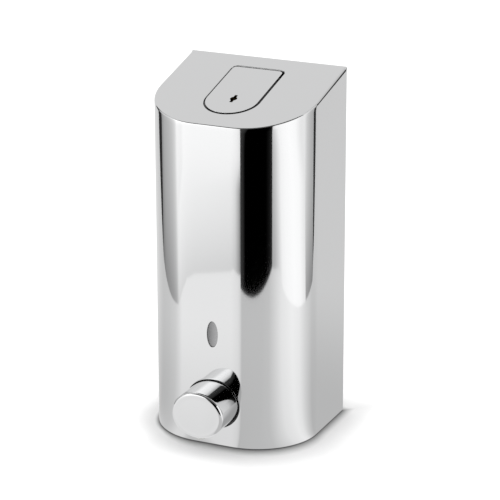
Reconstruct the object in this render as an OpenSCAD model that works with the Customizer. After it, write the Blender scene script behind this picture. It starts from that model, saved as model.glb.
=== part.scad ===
// Wall soap dispenser with a push-button pump, a sloping top and a locking filler flap.
// Millimetres, +Z up, +Y into the wall, origin on the floor under the middle of the outline.

/* [Body] */
// Width across the flat sides
body_w = 110; // [90:1:150]
// Depth from the front face to the wall
body_d = 88; // [84:1:120]
// Height at the wall
back_h = 237; // [200:1:300]
// Fall of the top towards the front, degrees
top_slope = 14.4; // [8:0.1:20]
// Radius of the two front corners
corner_r = 42; // [20:0.5:45]
// Thickness of the steel sheet
sheet = 1.2; // [0.8:0.1:1.5]
// Width of the two flanges folded in along the wall
flange_w = 12; // [8:1:20]
// Height of the base plate above the standing rim
base_lift = 2; // [1.8:0.1:4]
// Gap round the base plate and beside the back plate
plate_gap = 0.2; // [0.1:0.05:0.5]
// Distance of the back plate's folded foot in from its sides
foot_inset = 3; // [1:0.5:6]
// Gap between that foot and the tank
foot_gap = 0.6; // [0.4:0.1:1]

/* [Filler flap] */
// Width of the flap
flap_w = 34.8; // [30:0.2:44]
// Length of the flap along the slope
flap_len = 58.9; // [54:0.1:62]
// Top plate left in front of the flap
flap_margin = 16.2; // [14:0.1:18]
// Radius of the two rear corners of the flap
flap_corner_r = 3; // [1:0.5:6]
// Gap between the flap and the top plate
flap_gap = 1.2; // [0.5:0.05:1.5]
// Extra gap behind the flap, where its tail swings down
tail_gap = 0.5; // [0.4:0.05:1.2]
// Distance from the hinge pin to the rear edge of the flap
tail_len = 5.7; // [5:0.1:9]
// Depth of the hinge pin under the top surface
hinge_drop = 3.2; // [3:0.1:4]
// Diameter of the hinge pin
pin_d = 2.5; // [2:0.1:3]
// Width of each hinge ear under the flap
ear_w = 2; // [1.5:0.1:3]
// Radius of each hinge ear round the pin
ear_r = 3; // [2.4:0.1:3.4]
// Distance of each ear in from the edge of the flap
ear_inset = 2.1; // [1:0.1:5]
// Running clearance round pins, spindle and stem
run_clear = 0.06; // [0.02:0.01:0.1]

/* [Filler throat] */
// Width of the ledge that the flap closes on
ledge_w = 1; // [0.8:0.1:2.5]
// Wall of the throat outside the opening
throat_wall = 2.2; // [1.6:0.1:3]
// Depth of the throat under the top plate
throat_depth = 7; // [6.5:0.1:9]
// Width of the flange round the throat
throat_flange_w = 6.6; // [6.4:0.1:8]
// Thickness of that flange
throat_flange_t = 2; // [1.5:0.1:3]
// Air between the closed flap and its ledge
ledge_air = 0.2; // [0.1:0.05:0.4]
// Thickness of each hinge boss outside the tail
boss_w = 4.6; // [3.5:0.1:6]
// Length of each hinge boss along the slope
boss_len = 8; // [6:0.5:10]
// Diameter of the weld studs under the top plate
stud_d = 3; // [2.5:0.1:4]
// Length of the weld studs
stud_len = 6; // [5.5:0.5:8]
// Distance of the weld studs before and behind their middle
stud_half = 14; // [10:1:18]
// Size of the stud nuts across their flats
stud_nut_af = 5.5; // [5:0.1:5.5]
// Thickness of the stud nuts
stud_nut_t = 2.4; // [2:0.1:3]
// Gap between the stud nuts and the throat
stud_nut_gap = 0.2; // [0.1:0.05:0.4]
// Distance of the front studs ahead of the middle of the flap's round end
stud_ahead = 4; // [2:0.5:6]

/* [Lock] */
// Distance of the keyhole behind the middle of the flap's round end
key_back = 1.3; // [0:0.1:3]
// Length of the keyhole
key_len = 9.3; // [7:0.1:10]
// Width of the keyhole
key_w = 2; // [1.5:0.1:3]
// Diameter of the round middle of the keyhole
key_d = 4.6; // [3.5:0.1:5.5]
// Depth of the key socket in the spindle
key_depth = 4; // [3:0.1:4.5]
// Diameter of the lock case
case_d = 16; // [15:0.5:18]
// Diameter of the lock spindle
spindle_d = 11; // [10.6:0.1:12]
// Diameter of the spindle neck that leaves the case
neck_d = 8; // [7:0.1:9]
// Thickness of the closed end of the case
case_end = 1; // [0.8:0.1:1.5]
// Air round the lock tongue and over the spindle
lock_air = 0.3; // [0.2:0.05:0.5]
// Reach of the lock tongue from its axis
tongue_reach = 21; // [20:0.5:23]
// Width of the lock tongue
tongue_w = 8; // [7.5:0.5:10]
// Thickness of the lock tongue
tongue_t = 1.8; // [1.2:0.1:2.5]
// Side of the square drive through the tongue
drive_w = 4.6; // [4:0.1:5]
// Diameter of the tongue screw
tongue_screw_d = 2.5; // [2:0.1:3]
// Diameter of its head
tongue_head_d = 6.8; // [6.6:0.1:8]
// Height of its head
tongue_head_h = 1.4; // [1:0.1:2]

/* [Sight window] */
// Width of the window
window_w = 7.5; // [6:0.1:10]
// Height of the window
window_h = 17.5; // [14:0.1:20]
// Height of the middle of the window
window_z = 76; // [72:0.5:120]
// Depth of the lens face behind the front
lens_recess = 0.4; // [0.2:0.05:0.8]
// Gap round the lens in the window
lens_gap = 0.15; // [0.05:0.05:0.3]
// Width of the lens flange behind the front
lens_flange_w = 3; // [2:0.1:4]
// Gap between the lens and the tank
lens_tank_gap = 0.2; // [0.1:0.05:0.4]
// Thickness of the lens gasket
lens_gasket_t = 0.8; // [0.5:0.1:1]

/* [Button] */
// Width of the button
button_w = 35.8; // [32:0.2:38]
// Height of the button
button_h = 30.8; // [30:0.2:33]
// Distance that the button stands out
button_out = 24.5; // [22.5:0.5:27]
// Height of the button's axis
button_z = 29; // [27.5:0.5:32]
// Stroke of the button
button_travel = 10; // [6:0.5:10]
// Rounding of the button's front edge
button_round = 2.2; // [1:0.1:3]
// Wall of the button
button_wall = 1.2; // [1:0.1:1.5]
// Thickness of the button's face
button_face = 1.5; // [1.2:0.1:1.8]
// Length of the button's skirt inside the front
button_tuck = 2; // [1:0.5:3]
// Gap round the button in the front
button_gap = 0.6; // [0.5:0.05:0.9]
// More room under the button in the front
button_drop = 1.3; // [0.5:0.1:1.5]
// Gap between the button and its guide
guide_gap = 0.3; // [0.2:0.05:0.5]
// Wall of the guide
guide_wall = 1; // [0.8:0.1:1.5]
// Gap between the guide and the front
guide_front_gap = 0.1; // [0.05:0.05:0.3]
// Width of the guide flange behind the front
guide_flange_w = 3; // [2:0.2:4]
// Thickness of that flange
guide_flange_t = 2; // [1.5:0.1:3]
// Free length left behind the button at full stroke
skirt_air = 1; // [0.5:0.1:2]

/* [Pump] */
// Bore of the pump barrel
bore_d = 16; // [14:0.2:17]
// Wall of the barrel in front of its plate
nose_wall = 2; // [1.5:0.1:2.5]
// Wall of the barrel inside the tank
barrel_wall = 2.5; // [2:0.1:3]
// Diameter of the barrel's plate
barrel_plate_d = 38; // [36:0.5:40]
// Thickness of that plate
barrel_plate_t = 2.5; // [2:0.1:3]
// Distance from the front of the body to the end of the barrel's nose
nose_in = 1.5; // [1.2:0.1:3]
// Thickness of the seal between barrel plate and tank
tank_seal_t = 1.5; // [1:0.1:2]
// Width of that seal
tank_seal_w = 6; // [4:0.2:7]
// Gap round the barrel in the tank wall
barrel_gap = 0.5; // [0.3:0.1:1]
// Size of the barrel nut across its flats
nut_af = 30; // [28:0.5:32]
// Thickness of the barrel nut
nut_t = 7; // [5:0.5:9]
// Diameter of the plunger stem
stem_d = 8; // [7:0.1:9]
// Diameter of the passage in the stem
passage_d = 3.6; // [3:0.1:4.5]
// Thickness of the plunger's spring plate
spring_plate_t = 1.5; // [1:0.1:2]
// Gap round that plate in the button
spring_plate_gap = 0.5; // [0.3:0.1:1]
// Distance of that plate behind the outlet nozzle
spring_plate_set = 0.2; // [0.1:0.1:0.6]
// Diameter of the plunger head in the button
head_d = 13; // [12:0.2:14]
// Height of the ring that holds the head in the button
head_ring_h = 2.2; // [1.5:0.1:2.4]
// Wall of that ring
head_ring_w = 1.8; // [1:0.1:2.5]
// Length of the piston
piston_len = 6; // [5:0.5:8]
// Gap round the piston
piston_gap = 0.1; // [0.05:0.05:0.3]
// Free length before the piston's front stop and the bush's collar
piston_air = 0.5; // [0.3:0.1:1]
// Free length behind the piston at full stroke
end_air = 3; // [1:0.5:5]
// Thickness of the piston ring
ring_d = 2.4; // [2:0.1:2.8]
// Gap beside the piston ring in its groove
ring_side_gap = 0.1; // [0.05:0.05:0.2]
// Gap under the piston ring in its groove
ring_floor_gap = 0.05; // [0.02:0.01:0.1]
// Thickness of the guide bush's collar
bush_collar_t = 1; // [0.6:0.1:1]
// Diameter of the return spring at the middle of its wire
spring_d = 24.6; // [24:0.1:25.6]
// Wire of the return spring
spring_wire = 1.4; // [1:0.1:1.8]
// Turns of the return spring
spring_turns = 6; // [4:1:8]

/* [Inlet valve] */
// Diameter of the inlet ball
ball_d = 6.4; // [6:0.1:7]
// Lift of the ball off its seat
ball_lift = 1.5; // [1:0.1:2]
// Gap round the ball in its chamber
ball_gap = 0.4; // [0.3:0.05:0.6]
// Diameter of the inlet port
port_d = 4.8; // [4:0.1:5]
// Thickness of the ball retainer
retainer_t = 1; // [0.8:0.1:1.5]
// Diameter of the ball retainer
retainer_d = 10; // [9.4:0.1:11]
// Free length ahead of the lifted ball
ball_air = 0.3; // [0.2:0.05:0.5]
// Gap between the resting ball and its seat
seat_gap = 0.02; // [0.01:0.01:0.05]
// Thickness of the barrel end behind the ball
seat_t = 2.5; // [2:0.1:4]
// Diameter of the spigot that carries the dip elbow
spigot_d = 11; // [10:0.2:12]
// Length of that spigot
spigot_len = 6; // [5:0.5:7]
// Wall of the dip elbow
elbow_wall = 2; // [1.5:0.1:2.5]
// Bore of the dip elbow
elbow_bore = 7; // [6:0.1:7]
// Bore of its short arm
arm_bore = 6.2; // [5:0.1:6.6]
// Gap between the elbow and the end of the barrel
elbow_gap = 0.5; // [0.3:0.1:0.9]
// Gap between the elbow's shoulder and the spigot
spigot_gap = 0.2; // [0.1:0.05:0.4]
// Height of the elbow's mouth above the tank floor
dip_air = 4; // [3:0.5:8]

/* [Outlet] */
// Distance of the outlet behind the button's face
outlet_back = 7; // [6:0.1:8]
// Diameter of the outlet nozzle
nozzle_d = 5.6; // [5:0.1:5.8]
// Bore of the outlet nozzle
nozzle_bore = 3.4; // [2.5:0.1:3.8]
// Length of the nozzle under the button
nozzle_out = 2; // [1:0.1:4]
// Gap round the nozzle in the button
nozzle_gap = 0.1; // [0.05:0.05:0.2]
// Gap between the nozzle's top and its seat in the plunger
nozzle_top_gap = 0.1; // [0.05:0.05:0.2]
// Thickness of the drip valve's rim
drip_rim_t = 0.8; // [0.6:0.1:1.2]
// Length of the drip valve
drip_len = 3.4; // [2.5:0.1:4]
// Distance of the drip valve's lips inside the nozzle
drip_set = 0.3; // [0.1:0.1:0.6]
// Wall of the drip valve round its pocket
drip_wall = 0.7; // [0.5:0.05:0.9]
// Depth of that pocket under the rim
drip_pocket = 1; // [0.5:0.1:1.4]
// Width of the slit in the drip valve
drip_slit = 0.3; // [0.2:0.05:0.5]

/* [Tank] */
// Space between the body sheet and the tank
tank_gap = 3; // [2.6:0.1:4]
// Space between the tank and the wall plane
tank_back = 10; // [9.6:0.1:14]
// Wall of the tank
tank_wall = 2.2; // [1.5:0.1:3]
// Drop of the tank rim under the front edge of the top
tank_drop = 10; // [8:0.5:20]
// Radius of the two rear corners of the tank
tank_back_r = 6; // [3:0.5:12]
// Width that the rim bead stands out
bead_w = 1.2; // [0.6:0.1:1.6]
// Height of the rim bead
bead_h = 3; // [2:0.5:5]
// Half width of the bay that the pump sits in
bay_half = 24; // [23:0.5:28]

/* [Wall bracket] */
// Width of the bracket
bracket_w = 50; // [46:1:70]
// Height of the bracket's lower edge
bracket_low = 10; // [9:0.5:20]
// Height of the bracket's upper edge
bracket_top = 200; // [195:1:205]
// Spacing of the wall holes across
wall_holes_x = 30; // [24:1:34]
// Spacing of the wall holes up
wall_holes_z = 110; // [90:1:116]
// Diameter of the wall holes
wall_hole_d = 5.2; // [4:0.1:6]
// Diameter of the openings for the wall screw heads
head_room_d = 13; // [10:0.5:14]
// Distance of each hook from the middle
hook_x = 14; // [9:0.5:15]
// Width of each hook
hook_w = 10; // [6:0.5:12]
// Height of each hook
hook_h = 8; // [6:0.5:10]
// Drop of the hooks under the bracket's upper edge
hook_drop = 22; // [20:0.5:24]
// Air round the hooks
hook_air = 0.6; // [0.3:0.1:1]
// Length of the tab for the lock screw
tab_len = 7.8; // [7:0.1:8]
// Air round that tab in the back sheet
tab_air = 3; // [2:0.1:4]
// Distance of the lock screw in front of the bracket
lock_screw_in = 3.8; // [3.4:0.1:4]

/* [Screws] */
// Diameter of the base and lock screws
screw_d = 3; // [2.5:0.1:3.5]
// Diameter of their heads
screw_head_d = 5.6; // [5:0.1:6]
// Height of their heads
screw_head_h = 1.6; // [1.2:0.1:1.7]
// Length of the base screws
base_screw_len = 3.6; // [2.6:0.1:3.8]
// Clearance round screws in passing holes
screw_clear = 0.25; // [0.15:0.05:0.4]
// Clearance round screws in tapped holes
thread_clear = 0.03; // [0.02:0.01:0.05]
// Half spacing of the front base screws
front_screw_x = 9; // [6:0.5:10]
// Distance of the front base screws behind the front
front_screw_in = 6.5; // [5:0.5:7]
// Half spacing of the rear base screws
rear_screw_x = 38; // [36:0.5:40]
// Distance of the rear base screws in front of the wall
rear_screw_in = 6; // [5.5:0.1:6.2]
// Length of the screw lands
land_len = 9.5; // [9:0.5:10]
// Width of the front land outside its screws
land_side = 5; // [4:0.5:6]
// Length of the lock screw above the bracket's tab
lock_screw_out = 2.5; // [1.5:0.1:3]

/* [Hidden] */
$fn = 96;
big = 400;
// Depths along Y
total_d = body_d + button_out;
back_y = total_d / 2;
front_y = back_y - body_d;
front_h = back_h - body_d * tan(top_slope);
panel_y = back_y - 2 * sheet;
// Heights of the base
base_top = base_lift + sheet;
land_top = base_top + sheet;
// Flap, along the slope from the front edge
flap_r = flap_w / 2;
flap_arc_v = flap_margin + flap_r;
flap_rear_v = flap_margin + flap_len;
hinge_v = flap_rear_v - tail_len;
ear_x = flap_r - ear_inset - ear_w / 2;
key_v = flap_arc_v + key_back;
pin_hole_d = pin_d + 2 * run_clear;
// Throat
throat_out = flap_gap + throat_wall;
relief_out = flap_gap + tail_gap;
relief_v = hinge_v - boss_len / 2;
boss_x = flap_r + relief_out;
throat_low = -sheet - throat_depth;
stud_nut_d = stud_nut_af / cos(30);
stud_x = flap_r + throat_out + stud_nut_d / 2 + stud_nut_gap;
stud_mid_v = flap_arc_v + stud_half - stud_ahead;
pin_half = boss_x + boss_w;
// Lock, downward from the top surface
case_low = throat_low;
tongue_top = throat_low - lock_air;
tongue_low = tongue_top - tongue_t;
// Window and lens
tank_front = sheet + tank_gap;
lens_back = tank_front - lens_tank_gap;
// Button and pump, inward from the front face
button_r = button_h / 2;
guide_out = guide_gap + guide_wall;
plate_in = button_tuck + button_travel + skirt_air;
plate_end = plate_in + barrel_plate_t;
bay_in = plate_end + tank_seal_t;
bay_inner = bay_in + tank_wall;
nut_end = bay_inner + nut_t;
bore_r = bore_d / 2;
barrel_r = bore_r + barrel_wall;
piston_in = plate_end + piston_air;
piston_end = piston_in + piston_len;
bush_end = piston_in - piston_air / 2;
bore_end = piston_end + button_travel + end_air;
piston_r = bore_r - piston_gap;
ring_r = bore_r - run_clear - ring_d / 2;
spring_plate_in = outlet_back - button_out + nozzle_d / 2 + spring_plate_set;
face_in = button_face - button_out;
// Inlet valve, inward from the front face
ball_r = ball_d / 2;
port_r = port_d / 2;
retainer_hole_r = ball_r * 0.6;
chamber_in = bore_end + retainer_t;
ball_rest_gap = sqrt(ball_r * ball_r - port_r * port_r);
ball_stop_gap = sqrt(ball_r * ball_r - retainer_hole_r * retainer_hole_r);
ball_in = chamber_in + ball_stop_gap + ball_air + ball_lift;
seat_in = ball_in + ball_rest_gap + seat_gap;
barrel_end = seat_in + seat_t;
spigot_end = barrel_end + spigot_len;
elbow_in = spigot_end + elbow_bore / 2;
elbow_r = spigot_d / 2 + run_clear + elbow_wall;
// Tank
tank_low = base_top;
tank_top = front_h - tank_drop;
tank_floor = tank_low + tank_wall;
bay_top = button_z + bay_half;
dip_low = tank_floor + dip_air;
// Wall bracket
hole_mid_z = (bracket_low + bracket_top) / 2;
hook_z = bracket_top - hook_drop;
lock_screw_top = bracket_low + sheet + lock_screw_out;

// Names of the pieces that can be drawn alone

// Outline of the body from above, drawn in by inset, ending back_inset short of the wall
module plan(inset, back_inset = 0, back_r = 0) {
    half = body_w / 2 - inset;
    mid = body_w / 2 - corner_r;
    arc_y = front_y + corner_r;
    end_y = back_y - back_inset;
    for (side = [-1, 1])
        intersection() {
            translate([side * mid, arc_y])
                circle(corner_r - inset);
            translate([-body_w, front_y])
                square([2 * body_w, corner_r]);
        }
    translate([-mid, front_y + inset])
        square([2 * mid, end_y - front_y - inset]);
    translate([-half, arc_y])
        square([2 * half, end_y - back_r - arc_y]);
    if (back_r > 0) {
        translate([back_r - half, arc_y])
            square([2 * (half - back_r), end_y - arc_y]);
        for (side = [-1, 1])
            translate([side * (half - back_r), end_y - back_r])
                circle(back_r);
    }
}

// Outline of the filler flap in the plane of the top, grown all round and once more behind
module flap_outline(grow, grow_behind = 0) {
    r = flap_r + grow;
    end_v = flap_rear_v + grow + grow_behind;
    round_r = flap_corner_r + grow;
    translate([0, flap_arc_v])
        circle(r);
    translate([-r, flap_arc_v])
        square([2 * r, end_v - round_r - flap_arc_v]);
    translate([round_r - r, flap_arc_v])
        square([2 * (r - round_r), end_v - flap_arc_v]);
    for (side = [-1, 1])
        translate([side * (r - round_r), end_v - round_r])
            circle(round_r);
}

// Shape of the window, grown all round
module window_outline(grow) {
    scale([window_w / 2 + grow, window_h / 2 + grow])
        circle(1);
}

// Oval shape of the button, grown all round
module button_outline(grow) {
    r = button_r + grow;
    scale([(button_w / 2 + grow) / r, 1])
        circle(r);
}

// Keyhole: a slot with a round middle
module key_outline() {
    square([key_w, key_len], center = true);
    circle(d = key_d);
}

// Places children in the plane of the top: x across, y up the slope, z outward
module on_top() {
    translate([0, front_y, front_h])
        rotate([top_slope, 0, 0])
            children();
}

// Places children under the top plane, drawn from depth low to depth high
module under_top(low, high) {
    on_top()
        translate([0, 0, low])
            linear_extrude(high - low)
                children();
}

// Everything above a depth under the top
module above_top(depth) {
    on_top()
        translate([-big / 2, -big / 2, depth])
            cube(big);
}

// Places children on the axis of the button, with z going inward from the front face
module on_pump() {
    translate([0, front_y, button_z])
        rotate([-90, 0, 0])
            children();
}

// Draws a front-view outline at the axis of the button, from one depth to another
module along_pump(from, to) {
    on_pump()
        translate([0, 0, from])
            linear_extrude(to - from)
                children();
}

// Places a front-view outline at the middle of the window, from one depth to another
module through_front(from, to) {
    translate([0, front_y + to, window_z])
        rotate([90, 0, 0])
            linear_extrude(to - from)
                children();
}

// Half section of a tube
module ring_section(inner_r, outer_r, from, to) {
    translate([inner_r, from])
        square([outer_r - inner_r, to - from]);
}

// Tube along z
module tube(inner_r, outer_r, from, to) {
    rotate_extrude()
        ring_section(inner_r, outer_r, from, to);
}

// Rod along z
module rod(r, from, to) {
    translate([0, 0, from])
        cylinder(r = r, h = to - from);
}

// Box given by its two corners
module box(low, high) {
    translate(low)
        cube(high - low);
}

// Coil of round wire about z, as one unbroken tube
module coil(mean_r, wire_r, from, to, turns) {
    steps = 20;
    sides = 8;
    last = turns * steps;
    pitch = (to - from) / last;
    points = [for (i = [0 : last], j = [0 : sides - 1])
        let (turn = 360 * i / steps, around = 360 * j / sides, r = mean_r + wire_r * cos(around))
            [r * cos(turn), r * sin(turn), from + pitch * i + wire_r * sin(around)]];
    skin = [for (i = [0 : last - 1], j = [0 : sides - 1])
        let (next = (j + 1) % sides)
            [i * sides + j, (i + 1) * sides + j, (i + 1) * sides + next, i * sides + next]];
    near_cap = [for (j = [0 : sides - 1]) j];
    far_cap = [for (j = [sides - 1 : -1 : 0]) last * sides + j];
    polyhedron(points, concat(skin, [near_cap, far_cap]));
}

// Centres of the base screws in plan
module at_base_screws() {
    for (side = [-1, 1]) {
        translate([side * front_screw_x, front_y + front_screw_in, 0])
            children();
        translate([side * rear_screw_x, back_y - rear_screw_in, 0])
            children();
    }
}

// Centres of the weld studs in the plane of the top
module at_studs() {
    for (side = [-1, 1], step = [-1, 1])
        translate([side * stud_x, stud_mid_v + step * stud_half, 0])
            children();
}

// Body sheet, wrapped round the front and sides and folded in along the wall
module housing_shell() {
    land_half = front_screw_x + land_side;
    color("silver")
        difference() {
            union() {
                linear_extrude(back_h)
                    difference() {
                        plan(0);
                        plan(sheet, sheet);
                        translate([flange_w - body_w / 2, back_y - 2 * sheet])
                            square([body_w - 2 * flange_w, 3 * sheet]);
                    }
                box([-land_half, front_y + sheet / 2, base_top],
                    [land_half, front_y + sheet + land_len, land_top]);
            }
            above_top(-sheet);
            through_front(-1, 2 * sheet)
                window_outline(0);
            along_pump(-1, 2 * sheet) {
                button_outline(button_gap);
                translate([0, button_drop])
                    button_outline(button_gap);
            }
            at_base_screws()
                rod(screw_d / 2 + thread_clear, base_lift, land_top + 1);
        }
}

// Sloping top with the filler opening and four weld studs underneath
module top_plate() {
    color("silver")
        union() {
            difference() {
                intersection() {
                    linear_extrude(back_h + 1)
                        plan(0);
                    under_top(-sheet, 0)
                        translate([-body_w, -body_d])
                            square([2 * body_w, 3 * body_d]);
                }
                under_top(-2 * sheet, 1)
                    flap_outline(flap_gap, tail_gap);
            }
            on_top()
                at_studs()
                    rod(stud_d / 2, -sheet - stud_len, -sheet / 2);
        }
}

// Back sheet with slots for the hooks, room for the screw heads and a folded foot
module back_plate() {
    half = body_w / 2 - sheet - plate_gap;
    notch_half = bracket_w / 2 + tab_air;
    notch_top = bracket_low + sheet + tab_air;
    color("lightgray")
        difference() {
            union() {
                box([-half, panel_y, base_top], [half, panel_y + sheet, back_h]);
                box([foot_inset - half, back_y - tank_back + foot_gap, base_top],
                    [half - foot_inset, panel_y + sheet / 2, land_top]);
            }
            above_top(-sheet);
            box([-notch_half, back_y - big / 2, 0], [notch_half, back_y, notch_top]);
            for (side = [-1, 1]) {
                box([side * hook_x - hook_w / 2 - hook_air, panel_y - 1, hook_z - hook_h - hook_air],
                    [side * hook_x + hook_w / 2 + hook_air, panel_y + 2 * sheet, hook_z + sheet + hook_air]);
                for (step = [-1, 1])
                    translate([side * wall_holes_x / 2, panel_y - 1, hole_mid_z + step * wall_holes_z / 2])
                        rotate([-90, 0, 0])
                            cylinder(d = head_room_d, h = 3 * sheet);
            }
            at_base_screws()
                rod(screw_d / 2 + thread_clear, base_lift, land_top + 1);
        }
}

// Bottom sheet, set up inside the standing rim
module base_plate() {
    color("lightgray")
        difference() {
            translate([0, 0, base_lift])
                linear_extrude(sheet)
                    plan(sheet + plate_gap, sheet + plate_gap);
            at_base_screws()
                rod(screw_d / 2 + screw_clear, 0, base_top + 1);
            translate([0, back_y - sheet - lock_screw_in, 0])
                rod(screw_d / 2 + screw_clear, 0, base_top + 1);
        }
}

// Four screws that hold the base plate
module base_screws() {
    color("gray")
        at_base_screws() {
            rod(screw_head_d / 2, base_lift - screw_head_h, base_lift);
            rod(screw_d / 2, base_lift, base_lift + base_screw_len);
        }
}

// Plate screwed to the wall, with two hooks and a tab for the lock screw
module wall_bracket() {
    plate_y = back_y - sheet;
    hook_y = panel_y - hook_air - sheet;
    color("lightgray")
        difference() {
            union() {
                box([-bracket_w / 2, plate_y, bracket_low], [bracket_w / 2, back_y, bracket_top]);
                box([-bracket_w / 2, plate_y - tab_len, bracket_low],
                    [bracket_w / 2, back_y - sheet / 2, bracket_low + sheet]);
                for (side = [-1, 1]) {
                    box([side * hook_x - hook_w / 2, hook_y, hook_z],
                        [side * hook_x + hook_w / 2, back_y - sheet / 2, hook_z + sheet]);
                    box([side * hook_x - hook_w / 2, hook_y, hook_z],
                        [side * hook_x + hook_w / 2, hook_y + sheet, hook_z + hook_h]);
                }
            }
            for (side = [-1, 1], step = [-1, 1])
                translate([side * wall_holes_x / 2, plate_y - 1, hole_mid_z + step * wall_holes_z / 2])
                    rotate([-90, 0, 0])
                        cylinder(d = wall_hole_d, h = 3 * sheet);
            translate([0, plate_y - lock_screw_in, 0])
                rod(screw_d / 2 + thread_clear, bracket_low - 1, bracket_low + 2 * sheet);
        }
}

// Screw from below that locks the body to the wall bracket
module lock_screw() {
    color("gray")
        translate([0, back_y - sheet - lock_screw_in, 0]) {
            rod(screw_head_d / 2, base_lift - screw_head_h, base_lift);
            rod(screw_d / 2, base_lift, lock_screw_top);
        }
}

// Collar under the top plate: a ledge for the flap, a flange on the studs and two hinge bosses
module filler_throat() {
    rear_box = big / 4;
    color([0.1, 0.1, 0.1])
        difference() {
            union() {
                under_top(-sheet - throat_flange_t, -sheet)
                    flap_outline(throat_out + throat_flange_w, tail_gap - throat_flange_w / 2);
                under_top(throat_low, -sheet)
                    flap_outline(throat_out, tail_gap);
                for (side = [-1, 1])
                    under_top(throat_low, -sheet)
                        translate([side > 0 ? boss_x - throat_wall / 2 : -pin_half, hinge_v - boss_len / 2])
                            square([boss_w + throat_wall / 2, boss_len]);
            }
            under_top(throat_low - 1, 1)
                intersection() {
                    flap_outline(-ledge_w);
                    translate([-rear_box, 0])
                        square([2 * rear_box, relief_v + 1]);
                }
            under_top(throat_low - 1, 1)
                intersection() {
                    flap_outline(relief_out, ledge_air);
                    translate([-rear_box, relief_v])
                        square([2 * rear_box, rear_box]);
                }
            under_top(-sheet - ledge_air, 1)
                flap_outline(flap_gap, tail_gap);
            on_top()
                at_studs()
                    rod(stud_d / 2 + screw_clear, -sheet - throat_flange_t - 1, 1);
            on_top()
                translate([-big / 4, hinge_v, -hinge_drop])
                    rotate([0, 90, 0])
                        cylinder(d = pin_hole_d, h = big / 2);
            // The back sheet stays clear, however shallow the body is
            box([-body_w, panel_y - plate_gap, 0], [body_w, back_y + big, back_h]);
        }
}

// Nuts on the weld studs
module throat_nuts() {
    nut_top = -sheet - throat_flange_t;
    color("gray")
        on_top()
            at_studs()
                difference() {
                    translate([0, 0, nut_top - stud_nut_t])
                        cylinder(d = stud_nut_d, h = stud_nut_t, $fn = 6);
                    rod(stud_d / 2 + thread_clear, nut_top - stud_nut_t - 1, nut_top + 1);
                }
}

// Pin across the throat that the flap swings on
module hinge_pin() {
    color("gray")
        on_top()
            translate([-pin_half, hinge_v, -hinge_drop])
                rotate([0, 90, 0])
                    cylinder(d = pin_d, h = 2 * pin_half);
}

// Flush filler flap with its keyhole and two hinge ears
module filler_flap() {
    color("silver")
        difference() {
            union() {
                under_top(-sheet, 0)
                    flap_outline(0);
                for (side = [-1, 1])
                    on_top()
                        translate([side * ear_x - ear_w / 2, hinge_v, -hinge_drop])
                            rotate([90, 0, 90])
                                linear_extrude(ear_w) {
                                    circle(ear_r);
                                    translate([-ear_r, 0])
                                        square([2 * ear_r, hinge_drop - sheet / 2]);
                                }
            }
            under_top(-2 * sheet, 1)
                translate([0, key_v])
                    key_outline();
            on_top()
                translate([-big / 4, hinge_v, -hinge_drop])
                    rotate([0, 90, 0])
                        cylinder(d = pin_hole_d, h = big / 2);
        }
}

// Case under the flap that the lock spindle turns in
module lock_case() {
    color("dimgray")
        on_top()
            translate([0, key_v, 0])
                rotate_extrude()
                    union() {
                        ring_section(spindle_d / 2 + run_clear, case_d / 2, case_low, -sheet);
                        ring_section(neck_d / 2 + run_clear, case_d / 2, case_low, case_low + case_end);
                    }
}

// Spindle with a crossed key socket above and a square drive below
module lock_spindle() {
    shoulder = case_low + case_end + run_clear;
    spindle_top = -sheet - lock_air;
    color("gold")
        on_top()
            translate([0, key_v, 0])
                difference() {
                    union() {
                        rod(spindle_d / 2, shoulder, spindle_top);
                        rod(neck_d / 2, tongue_top, shoulder);
                        translate([-drive_w / 2, -drive_w / 2, tongue_low])
                            cube([drive_w, drive_w, tongue_t + lock_air]);
                    }
                    translate([0, 0, spindle_top - key_depth])
                        linear_extrude(key_depth + 1) {
                            key_outline();
                            rotate(90)
                                key_outline();
                        }
                    rod(tongue_screw_d / 2 + thread_clear, tongue_low - 1, tongue_top + 1);
                }
}

// Tongue that turns under the side of the throat
module lock_tongue() {
    color("lightgray")
        on_top()
            translate([0, key_v, tongue_low])
                linear_extrude(tongue_t)
                    difference() {
                        union() {
                            circle(d = tongue_w);
                            translate([-tongue_w / 2, 0])
                                square([tongue_w, tongue_reach - tongue_w / 2]);
                            translate([0, tongue_reach - tongue_w / 2])
                                circle(d = tongue_w);
                        }
                        square(drive_w + 2 * thread_clear, center = true);
                    }
}

// Screw that holds the tongue on the spindle
module tongue_screw() {
    color("gray")
        on_top()
            translate([0, key_v, 0]) {
                rod(tongue_head_d / 2, tongue_low - tongue_head_h, tongue_low);
                rod(tongue_screw_d / 2, tongue_low, tongue_top);
            }
}

// Solid block of the tank, drawn in by a wall, with the pump bay left out
module tank_form(wall, low, high) {
    difference() {
        translate([0, 0, low])
            linear_extrude(high - low)
                plan(tank_front + wall, tank_back + wall, tank_back_r - wall);
        box([-bay_half - wall, front_y - 1, low - 1],
            [bay_half + wall, front_y + bay_in + wall, bay_top + wall]);
    }
}

// Open soap tank that stands on the base plate
module tank() {
    color([0.9, 0.92, 0.9, 0.6])
        difference() {
            union() {
                tank_form(0, tank_low, tank_top);
                translate([0, 0, tank_top - bead_h])
                    linear_extrude(bead_h)
                        plan(tank_front - bead_w, tank_back - bead_w, tank_back_r);
            }
            tank_form(tank_wall, tank_floor, tank_top + 1);
            on_pump()
                rod(barrel_r + barrel_gap, bay_in - 1, bay_inner + 1);
        }
}

// Clear lens in the window, held by its flange
module sight_lens() {
    color([0.6, 0.65, 0.7, 0.5])
        union() {
            through_front(lens_recess, (sheet + lens_gasket_t + lens_back) / 2)
                window_outline(-lens_gap);
            through_front(sheet + lens_gasket_t, lens_back)
                window_outline(lens_flange_w);
        }
}

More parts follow.
